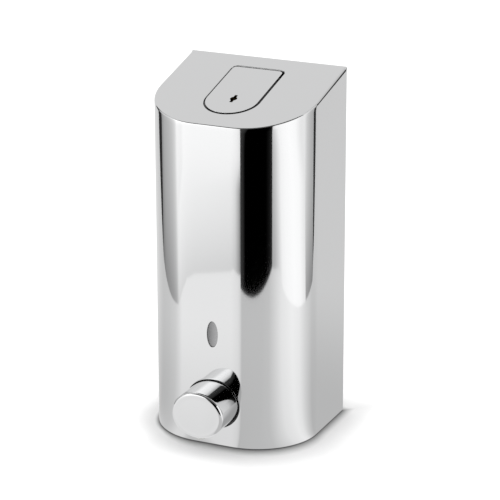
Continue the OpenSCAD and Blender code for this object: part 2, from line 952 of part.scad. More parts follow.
// Soft ring between the lens flange and the body sheet
module lens_gasket() {
    color([0.15, 0.15, 0.15])
        through_front(sheet, sheet + lens_gasket_t)
            difference() {
                window_outline(lens_flange_w);
                window_outline(0);
            }
}

// Black guide sleeve round the button, with a flange, both shaped to the inside of the front
module button_guide() {
    guide_top = button_z + button_w;
    color([0.08, 0.08, 0.08])
        intersection() {
            difference() {
                union() {
                    along_pump(0, plate_in)
                        button_outline(guide_out);
                    along_pump(0, sheet + guide_flange_t)
                        button_outline(guide_out + guide_flange_w);
                }
                along_pump(-1, plate_in + 1)
                    button_outline(guide_gap);
            }
            linear_extrude(guide_top)
                plan(sheet + guide_front_gap);
        }
}

// Pump barrel: nose, clamping plate, bore, ball chamber and spigot
module pump_barrel() {
    color("white")
        on_pump()
            difference() {
                union() {
                    rod(bore_r + nose_wall, nose_in, plate_end);
                    rod(barrel_plate_d / 2, plate_in, plate_end);
                    rod(barrel_r, plate_in, barrel_end);
                    rod(spigot_d / 2, plate_in, spigot_end);
                }
                rod(bore_r, 0, bore_end);
                rod(retainer_d / 2 + thread_clear, bore_end - 1, chamber_in);
                rod(ball_r + ball_gap, bore_end, seat_in);
                rod(port_r, seat_in - 1, spigot_end + 1);
            }
}

// Flat seal between the barrel plate and the tank
module tank_seal() {
    inner_r = barrel_r + barrel_gap;
    color([0.15, 0.15, 0.15])
        on_pump()
            tube(inner_r, inner_r + tank_seal_w, plate_end, bay_in);
}

// Nut that clamps the barrel in the tank
module barrel_nut() {
    color("white")
        on_pump()
            difference() {
                translate([0, 0, bay_inner])
                    cylinder(d = nut_af / cos(30), h = nut_t, $fn = 6);
                rod(barrel_r + thread_clear, bay_inner - 1, nut_end + 1);
            }
}

// Bush in the barrel's nose that guides the stem and stops the piston
module guide_bush() {
    stem_hole_r = stem_d / 2 + run_clear;
    bush_in = nose_in - bush_collar_t;
    color("lightgray")
        on_pump()
            rotate_extrude()
                union() {
                    ring_section(stem_hole_r, bore_r - thread_clear, bush_in, bush_end);
                    ring_section(stem_hole_r, bore_r + nose_wall, bush_in, nose_in);
                }
}

// Spring that returns the button
module return_spring() {
    wire_r = spring_wire / 2;
    first = spring_plate_in + spring_plate_t + wire_r;
    last = plate_in - wire_r;
    color("gray")
        on_pump()
            coil(spring_d / 2, wire_r, first, last, spring_turns);
}

// Ring that keeps the ball in its chamber
module ball_retainer() {
    color("lightgray")
        on_pump()
            tube(retainer_hole_r, retainer_d / 2, bore_end, chamber_in);
}

// Ball that opens when the button comes back and shuts when it is pressed
module inlet_ball() {
    color("silver")
        on_pump()
            translate([0, 0, ball_in])
                sphere(ball_r);
}

// Elbow that draws soap from the floor of the tank
module dip_elbow() {
    color("white")
        difference() {
            union() {
                on_pump()
                    rod(elbow_r, barrel_end + elbow_gap, elbow_in + elbow_bore / 2 + elbow_wall);
                translate([0, front_y + elbow_in, 0])
                    rod(elbow_bore / 2 + elbow_wall, dip_low, button_z);
            }
            on_pump()
                rod(spigot_d / 2 + run_clear, barrel_end, spigot_end + spigot_gap);
            on_pump()
                rod(arm_bore / 2, spigot_end, elbow_in + elbow_bore / 2);
            translate([0, front_y + elbow_in, 0])
                rod(elbow_bore / 2, dip_low - 1, button_z);
        }
}

// Hollow oval button with a rounded front, a round seat for the plunger and a hole for the nozzle
module button_cap() {
    inner_r = button_r - button_wall;
    shoulder = button_round - button_out;
    seat_r = head_d / 2 + run_clear;
    color("silver")
        difference() {
            union() {
                along_pump(shoulder, button_tuck)
                    button_outline(0);
                on_pump()
                    scale([button_w / button_h, 1, 1])
                        rotate_extrude()
                            intersection() {
                                translate([0, -button_out])
                                    square([button_r, button_round]);
                                union() {
                                    translate([0, -button_out])
                                        square([button_r - button_round, button_round]);
                                    translate([button_r - button_round, shoulder])
                                        circle(button_round);
                                }
                            }
            }
            difference() {
                along_pump(face_in, button_tuck + button_wall)
                    button_outline(-button_wall);
                on_pump()
                    tube(seat_r, seat_r + head_ring_w, face_in - button_face / 2, face_in + head_ring_h);
            }
            translate([0, front_y - button_out + outlet_back, 0])
                rod(nozzle_d / 2 + nozzle_gap, -1, button_z - inner_r / 2);
        }
}

// Plunger: head in the button, spring plate, hollow stem and grooved piston
module plunger() {
    plate_r = button_r - button_wall - spring_plate_gap;
    groove_mid = piston_in + piston_len / 2;
    groove_half = ring_d / 2 + ring_side_gap;
    groove_r = ring_r - ring_d / 2 - ring_floor_gap;
    color("white")
        difference() {
            on_pump()
                difference() {
                    union() {
                        rod(head_d / 2, face_in, spring_plate_in + spring_plate_t);
                        rod(plate_r, spring_plate_in, spring_plate_in + spring_plate_t);
                        rod(stem_d / 2, spring_plate_in, piston_end);
                        rod(piston_r, piston_in, piston_end);
                    }
                    tube(groove_r, bore_r + 1, groove_mid - groove_half, groove_mid + groove_half);
                    rod(passage_d / 2, outlet_back - button_out, piston_end + 1);
                }
            translate([0, front_y - button_out + outlet_back, 0])
                rod(nozzle_d / 2 + run_clear, 0, button_z - stem_d / 2);
            translate([0, front_y - button_out + outlet_back, 0])
                rod(nozzle_bore / 2, 0, button_z);
        }
}

// Ring that seals the piston in the bore
module piston_ring() {
    color([0.1, 0.1, 0.1])
        on_pump()
            translate([0, 0, piston_in + piston_len / 2])
                rotate_extrude()
                    translate([ring_r, 0])
                        circle(d = ring_d);
}

// Outlet nozzle under the button
module outlet_nozzle() {
    tip_z = button_z - button_r - nozzle_out;
    color("white")
        translate([0, front_y - button_out + outlet_back, 0])
            difference() {
                rod(nozzle_d / 2, tip_z, button_z - stem_d / 2 - nozzle_top_gap);
                rod(nozzle_bore / 2, tip_z - 1, button_z);
            }
}

// Slit valve that stops drips at the nozzle's tip
module drip_valve() {
    tip_z = button_z - button_r - nozzle_out;
    lips_z = tip_z + drip_set;
    valve_top = tip_z + drip_len;
    rim_z = valve_top - drip_rim_t;
    valve_r = nozzle_bore / 2 - thread_clear;
    color([0.85, 0.85, 0.85])
        translate([0, front_y - button_out + outlet_back, 0])
            difference() {
                rotate_extrude()
                    polygon([[0, lips_z], [valve_r / 2, lips_z], [valve_r, rim_z],
                        [valve_r, valve_top], [0, valve_top]]);
                rod(valve_r - drip_wall, rim_z - drip_pocket, valve_top + 1);
                box([-drip_slit / 2, -valve_r / 3, lips_z - 1], [drip_slit / 2, valve_r / 3, valve_top]);
            }
}

housing_shell();
top_plate();
back_plate();
base_plate();
base_screws();
wall_bracket();
lock_screw();
filler_throat();
throat_nuts();
hinge_pin();
filler_flap();
lock_case();
lock_spindle();
lock_tongue();
tongue_screw();
tank();
sight_lens();
lens_gasket();
button_guide();
pump_barrel();
tank_seal();
barrel_nut();
guide_bush();
return_spring();
ball_retainer();
inlet_ball();
dip_elbow();
button_cap();
plunger();
piston_ring();
outlet_nozzle();
drip_valve();
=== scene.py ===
"""Dresses the wall soap dispenser: mirror steel, a push button, a smoky window and a white studio."""

import logging
import math
from collections.abc import Callable, Collection, Iterable, Mapping, Sequence
from dataclasses import dataclass, replace
from enum import Enum
from typing import ClassVar, NamedTuple

import bmesh
import bpy
from mathutils import Matrix, Vector
from mathutils.geometry import delaunay_2d_cdt


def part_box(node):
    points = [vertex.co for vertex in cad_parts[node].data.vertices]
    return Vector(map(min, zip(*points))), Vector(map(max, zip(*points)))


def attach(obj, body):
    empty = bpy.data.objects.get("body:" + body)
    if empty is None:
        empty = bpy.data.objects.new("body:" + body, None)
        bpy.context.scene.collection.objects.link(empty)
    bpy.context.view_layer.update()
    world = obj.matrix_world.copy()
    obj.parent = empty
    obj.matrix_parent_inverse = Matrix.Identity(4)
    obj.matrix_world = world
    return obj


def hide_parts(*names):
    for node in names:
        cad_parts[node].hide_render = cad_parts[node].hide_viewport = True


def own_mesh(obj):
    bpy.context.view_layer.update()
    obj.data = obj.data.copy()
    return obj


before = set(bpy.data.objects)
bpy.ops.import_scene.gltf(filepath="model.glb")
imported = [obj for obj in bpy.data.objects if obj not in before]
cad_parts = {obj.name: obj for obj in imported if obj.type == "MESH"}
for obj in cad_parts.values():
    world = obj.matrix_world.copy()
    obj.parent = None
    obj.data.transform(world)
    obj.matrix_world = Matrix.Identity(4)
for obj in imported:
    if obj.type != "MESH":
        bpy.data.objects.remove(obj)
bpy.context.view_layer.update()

log = logging.getLogger("dispenser")
MM = 0.001
SHARP_ANGLE = math.radians(38)
MERGE = 1e-7
FLAT_MERGE = 1e-9
HOLE_STEPS = 3

Flat = tuple[float, float]
Triple = tuple[float, float, float]
Inputs = Mapping[str | int, object]
EVEN_SCALE: Triple = (1.0, 1.0, 1.0)


class Body(Enum):
    """The moving bodies that a piece can ride on."""

    HOUSING = "housing"
    FLAP = "flap"
    BUTTON = "button"


class Slot(Enum):
    """The material slots of the part's record."""

    POLISHED_STEEL = "polished_steel"
    BUTTON_CHROME = "button_chrome"
    PLAIN_STEEL = "plain_steel"
    FASTENER_STEEL = "fastener_steel"
    LOCK_BRASS = "lock_brass"
    BLACK_PLASTIC = "black_plastic"
    WHITE_PLASTIC = "white_plastic"
    TANK_PLASTIC = "tank_plastic"
    LENS_PLASTIC = "lens_plastic"
    SEAL_RUBBER = "seal_rubber"


class Wire:
    """A shader socket that takes part in Python arithmetic."""

    def __init__(self, graph: "Graph", socket: bpy.types.NodeSocket) -> None:
        """Keeps the socket and the graph that it belongs to."""
        self.graph = graph
        self.socket = socket

    def math(self, operation: str, *values: "Wire | float") -> "Wire":
        """Adds a Math node on wires or numbers, in the order of its inputs."""
        return self.graph.node("ShaderNodeMath", dict(enumerate(values)), {"operation": operation})

    def __add__(self, other: "Wire | float") -> "Wire":
        """Sum, with the number on either side."""
        return self.math("ADD", self, other)

    def __sub__(self, other: "Wire | float") -> "Wire":
        """Difference."""
        return self.math("SUBTRACT", self, other)

    def __rsub__(self, other: float) -> "Wire":
        """Difference with a number on the left."""
        return self.math("SUBTRACT", other, self)

    def __mul__(self, other: "Wire | float") -> "Wire":
        """Product, with the number on either side."""
        return self.math("MULTIPLY", self, other)

    __radd__ = __add__
    __rmul__ = __mul__

    def at_least(self, low: "Wire | float") -> "Wire":
        """The greater of this and another value."""
        return self.math("MAXIMUM", self, low)

    def smooth(self, start: float, end: float) -> "Wire":
        """Goes smoothly from 0 at start to 1 at end."""
        inputs = {"Value": self, "From Min": start, "From Max": end}
        return self.graph.node("ShaderNodeMapRange", inputs, {"interpolation_type": "SMOOTHSTEP"})

    def between(self, low: float, high: float) -> "Wire":
        """Turns 0 to 1 into low to high."""
        return low + (high - low) * self


class Graph:
    """A material's or world's nodes, which are added by type, inputs and settings."""

    def __init__(self, owner: bpy.types.Material | bpy.types.World) -> None:
        """Starts the owner's nodes anew.

        Args:
            owner: The material or world.
        """
        owner.use_nodes = True
        self.owner = owner
        self.tree = owner.node_tree
        self.tree.nodes.clear()

    @classmethod
    def of_material(cls, name: str) -> "Graph":
        """Starts a new material."""
        return cls(bpy.data.materials.new(name))

    def node(self, kind: str, inputs: Inputs | None = None, settings: Mapping[str, object] | None = None,
             output: str | int = 0) -> Wire | None:
        """Adds one node.

        Args:
            kind: The node's type.
            inputs: Values or wires by the socket's name or number.
            settings: Properties, set first; "stops" holds a ramp's pairs of place and grey level.
            output: The output that the returned wire stands for.

        Returns:
            A wire at that output, or None where the node has no output.
        """
        made = self.tree.nodes.new(kind)
        for key, value in (settings or {}).items():
            if key == "stops":
                self._set_stops(made.color_ramp, value)
            else:
                setattr(made, key, value)
        for key, value in (inputs or {}).items():
            socket = self._pick(made.inputs, key)
            if isinstance(value, Wire):
                self.tree.links.new(value.socket, socket)
            else:
                socket.default_value = value
        return Wire(self, self._pick(made.outputs, output)) if made.outputs else None

    @staticmethod
    def _pick(sockets: Sequence[bpy.types.NodeSocket], key: str | int) -> bpy.types.NodeSocket:
        """The socket in use with that name or number."""
        used = [socket for socket in sockets if socket.enabled]
        return used[key] if isinstance(key, int) else next(s for s in used if s.name == key)

    @staticmethod
    def _set_stops(ramp: bpy.types.ColorRamp, stops: Sequence[Flat]) -> None:
        """Gives a ramp its stops.

        Args:
            ramp: The ramp of a new node.
            stops: Pairs of place and grey level.
        """
        while len(ramp.elements) < len(stops):
            ramp.elements.new(1.0)
        for element, (place, level) in zip(ramp.elements, stops):
            element.position = place
            element.color = (level, level, level, 1.0)

    def end(self, surface: Wire) -> bpy.types.Material:
        """Ends the nodes in a surface and returns the material."""
        self.node("ShaderNodeOutputMaterial", {"Surface": surface})
        return self.owner

    def place(self, scale: Triple = EVEN_SCALE) -> Wire:
        """The point's place on the object in metres, scaled by axis for grain that runs one way."""
        where = self.node("ShaderNodeTexCoord", output="Object")
        return self.node("ShaderNodeMapping", {"Vector": where, "Scale": scale})

    def along(self, axis: str) -> Wire:
        """The point's place along one axis of the object, in metres."""
        return self.node("ShaderNodeSeparateXYZ", {"Vector": self.place()}, output=axis)

    def azimuth(self, aside: Wire | float = 0.0, ahead: Wire | float = 0.0) -> Wire:
        """Measures the angle about a pivot in degrees: 0 to the front, positive to the right.

        Args:
            aside: How far the pivot lies to the right of the object's middle.
            ahead: How far it lies in front of it.

        Returns:
            The angle.
        """
        across = self.along("X") - aside
        front = self.along("Y") * -1.0 - ahead
        return across.math("ARCTAN2", across, front) * math.degrees(1)

    def through(self, turn: Wire, stops: Sequence[Flat]) -> Wire:
        """Makes a level that goes through stops.

        Args:
            turn: The angle in degrees.
            stops: Pairs of angle and level.

        Returns:
            The level.
        """
        first, last = stops[0][0], stops[-1][0]
        peak = max(level for _, level in stops)
        ramp = {"stops": [((angle - first) / (last - first), level / peak) for angle, level in stops]}
        share = (turn - first) * (1 / (last - first))
        return self.node("ShaderNodeValToRGB", {"Fac": share}, ramp) * peak

    def noise(self, scale: float, detail: float = 3.0, along: Triple = EVEN_SCALE) -> Wire:
        """Noise from 0 to 1, by its lumps in a metre, finer layers, and scale along each axis."""
        inputs = {"Vector": self.place(along), "Scale": scale, "Detail": detail}
        return self.node("ShaderNodeTexNoise", inputs)

    @staticmethod
    def blend(wires: Sequence[Wire], shares: Sequence[float]) -> Wire:
        """The sum of wires by their shares."""
        parts = [wire * share for wire, share in zip(wires, shares) if share]
        return sum(parts[1:], parts[0])

    def bump(self, height: Wire, strength: float, distance: float) -> Wire:
        """A normal tilted by a height."""
        return self.node("ShaderNodeBump", {"Height": height, "Strength": strength, "Distance": distance})

    def tint(self, amount: Wire, low: Triple, high: Triple) -> Wire:
        """A colour between low and high."""
        inputs = {"Factor": amount, "A": (*low, 1.0), "B": (*high, 1.0)}
        return self.node("ShaderNodeMix", inputs, {"data_type": "RGBA"})


class Layer(NamedTuple):
    """A layer of noise: lumps in a metre, finer layers, scale along each axis, and an edge for patches."""

    scale: float
    detail: float = 3.0
    along: Triple = EVEN_SCALE
    edge: Flat | None = None

    def wire(self, graph: Graph) -> Wire:
        """Returns the layer in a material's nodes."""
        noise = graph.noise(self.scale, self.detail, self.along)
        return noise.smooth(*self.edge) if self.edge else noise


class PaintedSideShade(NamedTuple):
    """Painted shade: a smooth change between two places across the object, from the shaded side to the lit
    one.
    """

    start: float
    end: float

    def wire(self, graph: Graph) -> Wire:
        """Returns the painted shade in a material's nodes."""
        return graph.along("X").smooth(self.start, self.end)


@dataclass(frozen=True)
class Finish:
    """A finish: its slot, its colour, and layers that change its tone and dullness by their shares.

    The first layer is the grain, which gives the relief too.
    """

    slot: Slot
    colour: Triple
    layers: tuple[Layer | PaintedSideShade, ...]
    tone: tuple[float, ...]
    dull: tuple[float, ...]
    rough: Flat
    spread: float
    relief: float
    depth: float = 0.05 * MM
    metal: float = 0.0
    made: ClassVar[dict["Finish", bpy.types.Material]] = {}

    def material(self) -> bpy.types.Material:
        """Makes the finish's material at its first use.

        Returns:
            The material.
        """
        if self not in Finish.made:
            graph = Graph.of_material(f"{self.slot.value}_finish")
            wires = [layer.wire(graph) for layer in self.layers]
            surface = graph.node("ShaderNodeBsdfPrincipled", {
                "Base Color": graph.tint(graph.blend(wires, self.tone), *self.shades()),
                "Metallic": self.metal,
                "Roughness": graph.blend(wires, self.dull).between(*self.rough),
                "Normal": graph.bump(wires[0], self.relief, self.depth),
            })
            Finish.made[self] = graph.end(surface)
        return Finish.made[self]

    def shades(self) -> tuple[Triple, Triple]:
        """Returns the colour made darker and lighter by the spread."""
        low = tuple(c * (1 - self.spread) for c in self.colour)
        return low, tuple(min(1.0, c * (1 + self.spread)) for c in self.colour)

    def dress(self, item: bpy.types.Object) -> None:
        """Puts the finish's material, which is named after its slot, on a piece, in place of what it had.

        Args:
            item: The piece.
        """
        item.data.materials.clear()
        item.data.materials.append(self.material())


HALVES = (0.5, 0.5)


def grained(slot: Slot, colour: Triple, along: Triple, rough: Flat) -> Finish:
    """Returns a mill or turned metal with grain that runs one way and duller patches."""
    layers = (Layer(scale=120.0, detail=6.0, along=along), Layer(scale=26.0))
    return Finish(slot, colour, layers, (0.6, 0.4), HALVES, rough, spread=0.09, relief=0.08, metal=1.0)


def moulded(slot: Slot, colour: Triple, rough: Flat, relief: float, lumps: float = 2600.0) -> Finish:
    """Returns a moulded plastic or rubber with a fine eroded skin and a slow drift of colour."""
    layers = (Layer(scale=lumps, detail=2.0), Layer(scale=38.0))
    return Finish(slot, colour, layers, (0.0, 1.0), HALVES, rough, spread=0.07, relief=relief)


# Sheet steel polished to a mirror: fine buffing lines, faint clouds and smears.
MIRROR = Finish(
    Slot.POLISHED_STEEL, (0.60, 0.602, 0.605),
    layers=(
        Layer(scale=90.0, detail=4.0, along=(1.0, 1.0, 14.0)),
        Layer(scale=14.0, detail=4.0),
        Layer(scale=34.0, detail=2.0, edge=(0.55, 0.8)),
    ),
    tone=(0.3, 0.7), dull=(0.3, 0.4, 0.3), rough=(0.035, 0.075),
    spread=0.012, relief=0.004, depth=0.2 * MM, metal=1.0,
)
CHROME = replace(MIRROR, slot=Slot.BUTTON_CHROME, rough=(0.03, 0.06))
SATIN = grained(Slot.PLAIN_STEEL, (0.55, 0.55, 0.54), (40.0, 1.0, 1.0), (0.24, 0.44))
FASTENER = grained(Slot.FASTENER_STEEL, (0.5, 0.5, 0.49), (1.0, 1.0, 12.0), (0.18, 0.38))
BRASS = grained(Slot.LOCK_BRASS, (0.3, 0.23, 0.12), (1.0, 1.0, 20.0), (0.3, 0.5))
BLACK = moulded(Slot.BLACK_PLASTIC, (0.012, 0.012, 0.013), (0.31, 0.45), relief=0.15)
WHITE = moulded(Slot.WHITE_PLASTIC, (0.74, 0.74, 0.72), (0.29, 0.43), relief=0.06)
MILKY = moulded(Slot.TANK_PLASTIC, (0.66, 0.68, 0.66), (0.23, 0.37), relief=0.05, lumps=700.0)
RUBBER = moulded(Slot.SEAL_RUBBER, (0.03, 0.03, 0.032), (0.55, 0.69), relief=0.25)
# Smoky glossy plastic of the sight window, with painted shade: darker on its left, where its recess shadows
# it, and lighter towards its right side.
SMOKY = Finish(
    Slot.LENS_PLASTIC, (0.315, 0.315, 0.32),
    layers=(Layer(scale=900.0, detail=2.0), Layer(scale=160.0), PaintedSideShade(-4.5 * MM, 3.5 * MM)),
    tone=(0.0, 0.2, 0.8), dull=(1.0,), rough=(0.12, 0.24), spread=0.46, relief=0.02,
)


def steps(count: int) -> list[float]:
    """Returns count + 1 even shares from 0 to 1."""
    return [k / count for k in range(count + 1)]


def around(count: int) -> list[float]:
    """Returns even turns round a whole circle."""
    return [math.tau * k / count for k in range(count)]


def quarter(count: int) -> list[float]:
    """Returns count + 1 even turns from 0 to a right angle."""
    return [math.pi / 2 * t for t in steps(count)]


def arc(centre: Flat, radius: float, start: float, end: float, count: int) -> list[Flat]:
    """Returns points on a flat arc between two angles in degrees."""
    turns = [math.radians(start + (end - start) * t) for t in steps(count)]
    return [(centre[0] + radius * math.cos(a), centre[1] + radius * math.sin(a)) for a in turns]


def inside(ring: Sequence[Vector], point: Vector) -> bool:
    """Tells whether a flat point lies in a ring.

    Args:
        ring: The ring's points, in order.
        point: The flat point.

    Returns:
        True where it lies inside.
    """
    crossed = False
    for a, b in zip(ring, [*ring[1:], ring[0]]):
        if (a.y > point.y) != (b.y > point.y):
            crossed ^= point.x < a.x + (point.y - a.y) / (b.y - a.y) * (b.x - a.x)
    return crossed


def border(number: Callable[[int, int], int], across: range, up: range) -> list[int]:
    """Returns the ring round a part of a grid, whose point numbers go by places across and up."""
    ring = [number(c, up[0]) for c in across] + [number(across[-1], r) for r in up[1:]]
    return ring + [number(c, up[-1]) for c in across[-2::-1]] + [number(across[0], r) for r in up[-2:0:-1]]


def put_in_scene(name: str, data: bpy.types.ID) -> bpy.types.Object:
    """Makes an object and links it to the scene.

    Args:
        name: The object's name.
        data: Its mesh or camera.

    Returns:
        The object.
    """
    item = bpy.data.objects.new(name, data)
    bpy.context.scene.collection.objects.link(item)
    return item


class Skin:
    """Grows a mesh out of points, strips between rings, and flat sheets with holes."""

    def __init__(self) -> None:
        """Starts with no points and no faces."""
        self.points: list[Vector] = []
        self.faces: list[tuple[int, ...]] = []

    def add(self, points: Iterable[Sequence[float]]) -> list[int]:
        """Adds points.

        Args:
            points: Their places.

        Returns:
            Their numbers.
        """
        start = len(self.points)
        self.points.extend(Vector(p) for p in points)
        return list(range(start, len(self.points)))

    def strip(self, one: Sequence[int], two: Sequence[int], closed: bool = True,
              skip: Collection[int] = ()) -> None:
        """Joins two rows of equal length by quads.

        Args:
            one: The first row's point numbers.
            two: The second row's.
            closed: Whether the rows are rings.
            skip: Places along the rows that stay open.
        """
        count = len(one)
        for i in range(count if closed else count - 1):
            if i not in skip:
                j = (i + 1) % count
                self.faces.append((one[i], one[j], two[j], two[i]))

    def stack(self, rows: Sequence[Sequence[int]], closed: bool = True) -> None:
        """Joins each row to the next."""
        for one, two in zip(rows, rows[1:]):
            self.strip(one, two, closed)

    def cap(self, *rings: Sequence[int]) -> None:
        """Closes each ring by a fan about its middle.

        Args:
            rings: Rings of point numbers.
        """
        for ring in rings:
            middle = sum((self.points[i] for i in ring), Vector()) / len(ring)
            centre = self.add([middle])[0]
            self.faces.extend((a, b, centre) for a, b in zip(ring, [*ring[1:], ring[0]]))

    def sheet(self, loops: Sequence[Sequence[int]], plane: str = "xy", inner: Sequence[int] = (),
              lines: Sequence[tuple[int, int]] = ()) -> None:
        """Fills the space inside the first loop and outside the others.

        Args:
            loops: Closed rings of point numbers, the outer one first.
            plane: The two axes that a point's flat place is read on.
            inner: Points inside the space that the triangles use too.
            lines: Pairs of points that stay joined by an edge.
        """
        used = [i for loop in loops for i in loop] + list(inner)
        place = {number: k for k, number in enumerate(used)}
        flat = [getattr(self.points[i], plane) for i in used]
        sides = [side for loop in loops for side in zip(loop, [*loop[1:], loop[0]])]
        edges = [(place[a], place[b]) for a, b in [*sides, *lines]]
        found = delaunay_2d_cdt(flat, edges, [], 0, FLAT_MERGE, True)
        rings = [[flat[place[i]] for i in loop] for loop in loops]
        for triangle in found[2]:
            middle = sum((found[0][i] for i in triangle), Vector((0.0, 0.0))) / 3
            if sum(inside(ring, middle) for ring in rings) % 2:
                self.faces.append(tuple(used[found[3][i][0]] for i in triangle))

    def plate(self, rims: Sequence[Sequence[int]], holes: Sequence[Sequence[int]]) -> None:
        """Closes a plate with one hole.

        Args:
            rims: Rings of its rim, from the far face to the near one.
            holes: Rings of its hole, from the near face to the far one.
        """
        self.stack(rims)
        self.stack(holes)
        self.sheet([rims[-1], holes[0]])
        self.sheet([rims[0], holes[-1]])

    def spin(self, profile: Sequence[Flat], segments: int, at: Matrix) -> list[list[int]]:
        """Turns a profile of radius and height about an axis.

        Args:
            profile: Pairs of radius and height, none on the axis.
            segments: Points round each ring.
            at: Places the axis, which is Z before it.

        Returns:
            The rings.
        """
        rings = [self.add(at @ Vector((r * math.cos(a), r * math.sin(a), height)) for a in around(segments))
                 for r, height in profile]
        self.stack(rings)
        return rings

    def thicken(self, inward: Sequence[Vector]) -> None:
        """Makes an open skin a closed wall.

        Args:
            inward: The step from each point to its fellow on the inner side.
        """
        count = len(self.points)
        self.points.extend(p + step for p, step in zip(list(self.points), inward))
        seen: dict[tuple[int, int], list[tuple[int, int]]] = {}
        for face in self.faces:
            for a, b in zip(face, [*face[1:], face[0]]):
                seen.setdefault((min(a, b), max(a, b)), []).append((a, b))
        rims = [sides[0] for sides in seen.values() if len(sides) == 1]
        self.faces += [tuple(i + count for i in reversed(face)) for face in self.faces]
        self.faces += [(b, a, a + count, b + count) for a, b in rims]

    def mesh(self, name: str) -> bpy.types.Mesh:
        """Makes a mesh of the points and faces.

        Args:
            name: The mesh's name.

        Returns:
            The mesh.
        """
        mesh = bpy.data.meshes.new(name)
        mesh.from_pydata([tuple(p) for p in self.points], [], self.faces)
        return mesh

    def piece(self, name: str, body: Body, finish: Finish, stands_for: str) -> bpy.types.Object:
        """Makes the object, dresses it and lets it ride.

        Args:
            name: The piece's name.
            body: The body that it moves with.
            finish: Its finish.
            stands_for: The node that it is shown in place of.

        Returns:
            The object.
        """
        mesh = self.mesh(name)
        shape = bmesh.new()
        shape.from_mesh(mesh)
        bmesh.ops.delete(shape, geom=[v for v in shape.verts if not v.link_faces], context="VERTS")
        bmesh.ops.remove_doubles(shape, verts=shape.verts, dist=MERGE)
        bmesh.ops.recalc_face_normals(shape, faces=shape.faces)
        shape.to_mesh(mesh)
        open_edges = sum(not edge.is_manifold for edge in shape.edges)
        shape.free()
        mesh.shade_smooth()
        mesh.set_sharp_from_angle(angle=SHARP_ANGLE)
        item = put_in_scene(name, mesh)
        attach(item, body.value)
        finish.dress(item)
        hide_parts(stands_for)
        log.info("%s: %d faces, %d open edges, on %s", name, len(mesh.polygons), open_edges, body.value)
        return item


class PlanPoint(NamedTuple):
    """A point of the body's plan with its outward direction."""

    x: float
    y: float
    out_x: float
    out_y: float

    def out(self) -> Vector:
        """Returns the outward direction."""
        return Vector((self.out_x, self.out_y, 0.0))


@dataclass(frozen=True)
class BodyForm:
    """The form that body, top and flap share."""

    half_w: float
    front_y: float
    back_y: float
    back_h: float
    corner_r: float = 42 * MM
    fold_r: float = 0.8 * MM
    flange_w: float = 12 * MM
    sheet: float = 1.2 * MM
    rim: float = 3.4 * MM
    slope: float = math.radians(14.4)
    support: float = 0.4 * MM
    corner_steps: int = 64
    fold_steps: int = 8

    SIDE_SHARES: ClassVar[Flat] = (0.35, 0.7)
    BACK_SHARES: ClassVar[tuple[float, ...]] = (0.97, 0.5, 0.0, -0.5, -0.97)

    @property
    def front_h(self) -> float:
        """Height of the top's front edge."""
        return self.back_h - (self.back_y - self.front_y) * math.tan(self.slope)

    @property
    def flat(self) -> float:
        """Half width of the front's flat middle."""
        return self.half_w - self.corner_r

    @property
    def up(self) -> Vector:
        """Outward direction of the sloping top."""
        return Vector((0.0, -math.sin(self.slope), math.cos(self.slope)))

    def top_z(self, y: float, depth: float = 0.0) -> float:
        """Height of the plane that lies a depth under the top."""
        return self.front_h + (y - self.front_y) * math.tan(self.slope) - depth / math.cos(self.slope)

    def on_top(self, across: float, along: float, high: float = 0.0) -> Vector:
        """Finds a place by the sloping top.

        Args:
            across: How far right of the middle it is.
            along: How far up the slope from the front edge.
            high: How far above the top.

        Returns:
            The place.
        """
        cos, sin = math.cos(self.slope), math.sin(self.slope)
        y = self.front_y + along * cos - high * sin
        return Vector((across, y, self.front_h + along * sin + high * cos))

    def lay(self, skin: Skin, outline: Iterable[Flat], high: float = 0.0) -> list[int]:
        """Adds an outline that lies on the top or a height above it."""
        return skin.add(self.on_top(u, v, high) for u, v in outline)

    def skin_y(self, x: float) -> float:
        """Depth of the front skin at a place across it."""
        past = max(0.0, abs(x) - self.flat)
        return self.front_y + self.corner_r - math.sqrt(self.corner_r**2 - past**2)

    def skin_out(self, x: float) -> Vector:
        """Outward direction of the front skin at a place across it."""
        lean = math.copysign(max(0.0, abs(x) - self.flat) / self.corner_r, x)
        return Vector((lean, -math.sqrt(1 - lean**2), 0.0))

    def right_half(self) -> list[PlanPoint]:
        """Draws the right half of the plan.

        Returns:
            Its points from the middle of the front to the corner at the wall.
        """
        near = self.support
        points = [PlanPoint(x, self.front_y, 0.0, -1.0) for x in (0.0, self.flat / 2, self.flat - near)]
        start, end = self.front_y + self.corner_r, self.back_y - self.fold_r
        points += self._bend((self.flat, start), self.corner_r, -90, self.corner_steps)
        ys = [start + near, *(start + (end - start) * t for t in self.SIDE_SHARES), end - near]
        points += [PlanPoint(self.half_w, y, 1.0, 0.0) for y in ys]
        return points + self._bend((self.half_w - self.fold_r, end), self.fold_r, 0, self.fold_steps)

    @staticmethod
    def _bend(centre: Flat, radius: float, start: float, count: int) -> list[PlanPoint]:
        """Draws a quarter round that faces away from its centre.

        Args:
            centre: Its centre.
            radius: Its radius.
            start: Its first angle in degrees.
            count: Its number of steps.

        Returns:
            Its points.
        """
        points = []
        for x, y in arc(centre, radius, start, start + 90, count):
            out = Vector((x - centre[0], y - centre[1])).normalized()
            points.append(PlanPoint(x, y, out.x, out.y))
        return points

    @staticmethod
    def mirrored(points: Sequence[PlanPoint]) -> list[PlanPoint]:
        """Returns the left half for a right half, in order towards the middle."""
        return [PlanPoint(-p.x, p.y, -p.out_x, p.out_y) for p in reversed(points[1:])]

    def closed_plan(self) -> list[PlanPoint]:
        """Draws the whole plan with its straight back.

        Returns:
            Its points, in order round the body.
        """
        right = self.right_half()
        back = [PlanPoint(t * right[-1].x, self.back_y, 0.0, 1.0) for t in self.BACK_SHARES]
        return self.mirrored(right) + right + back


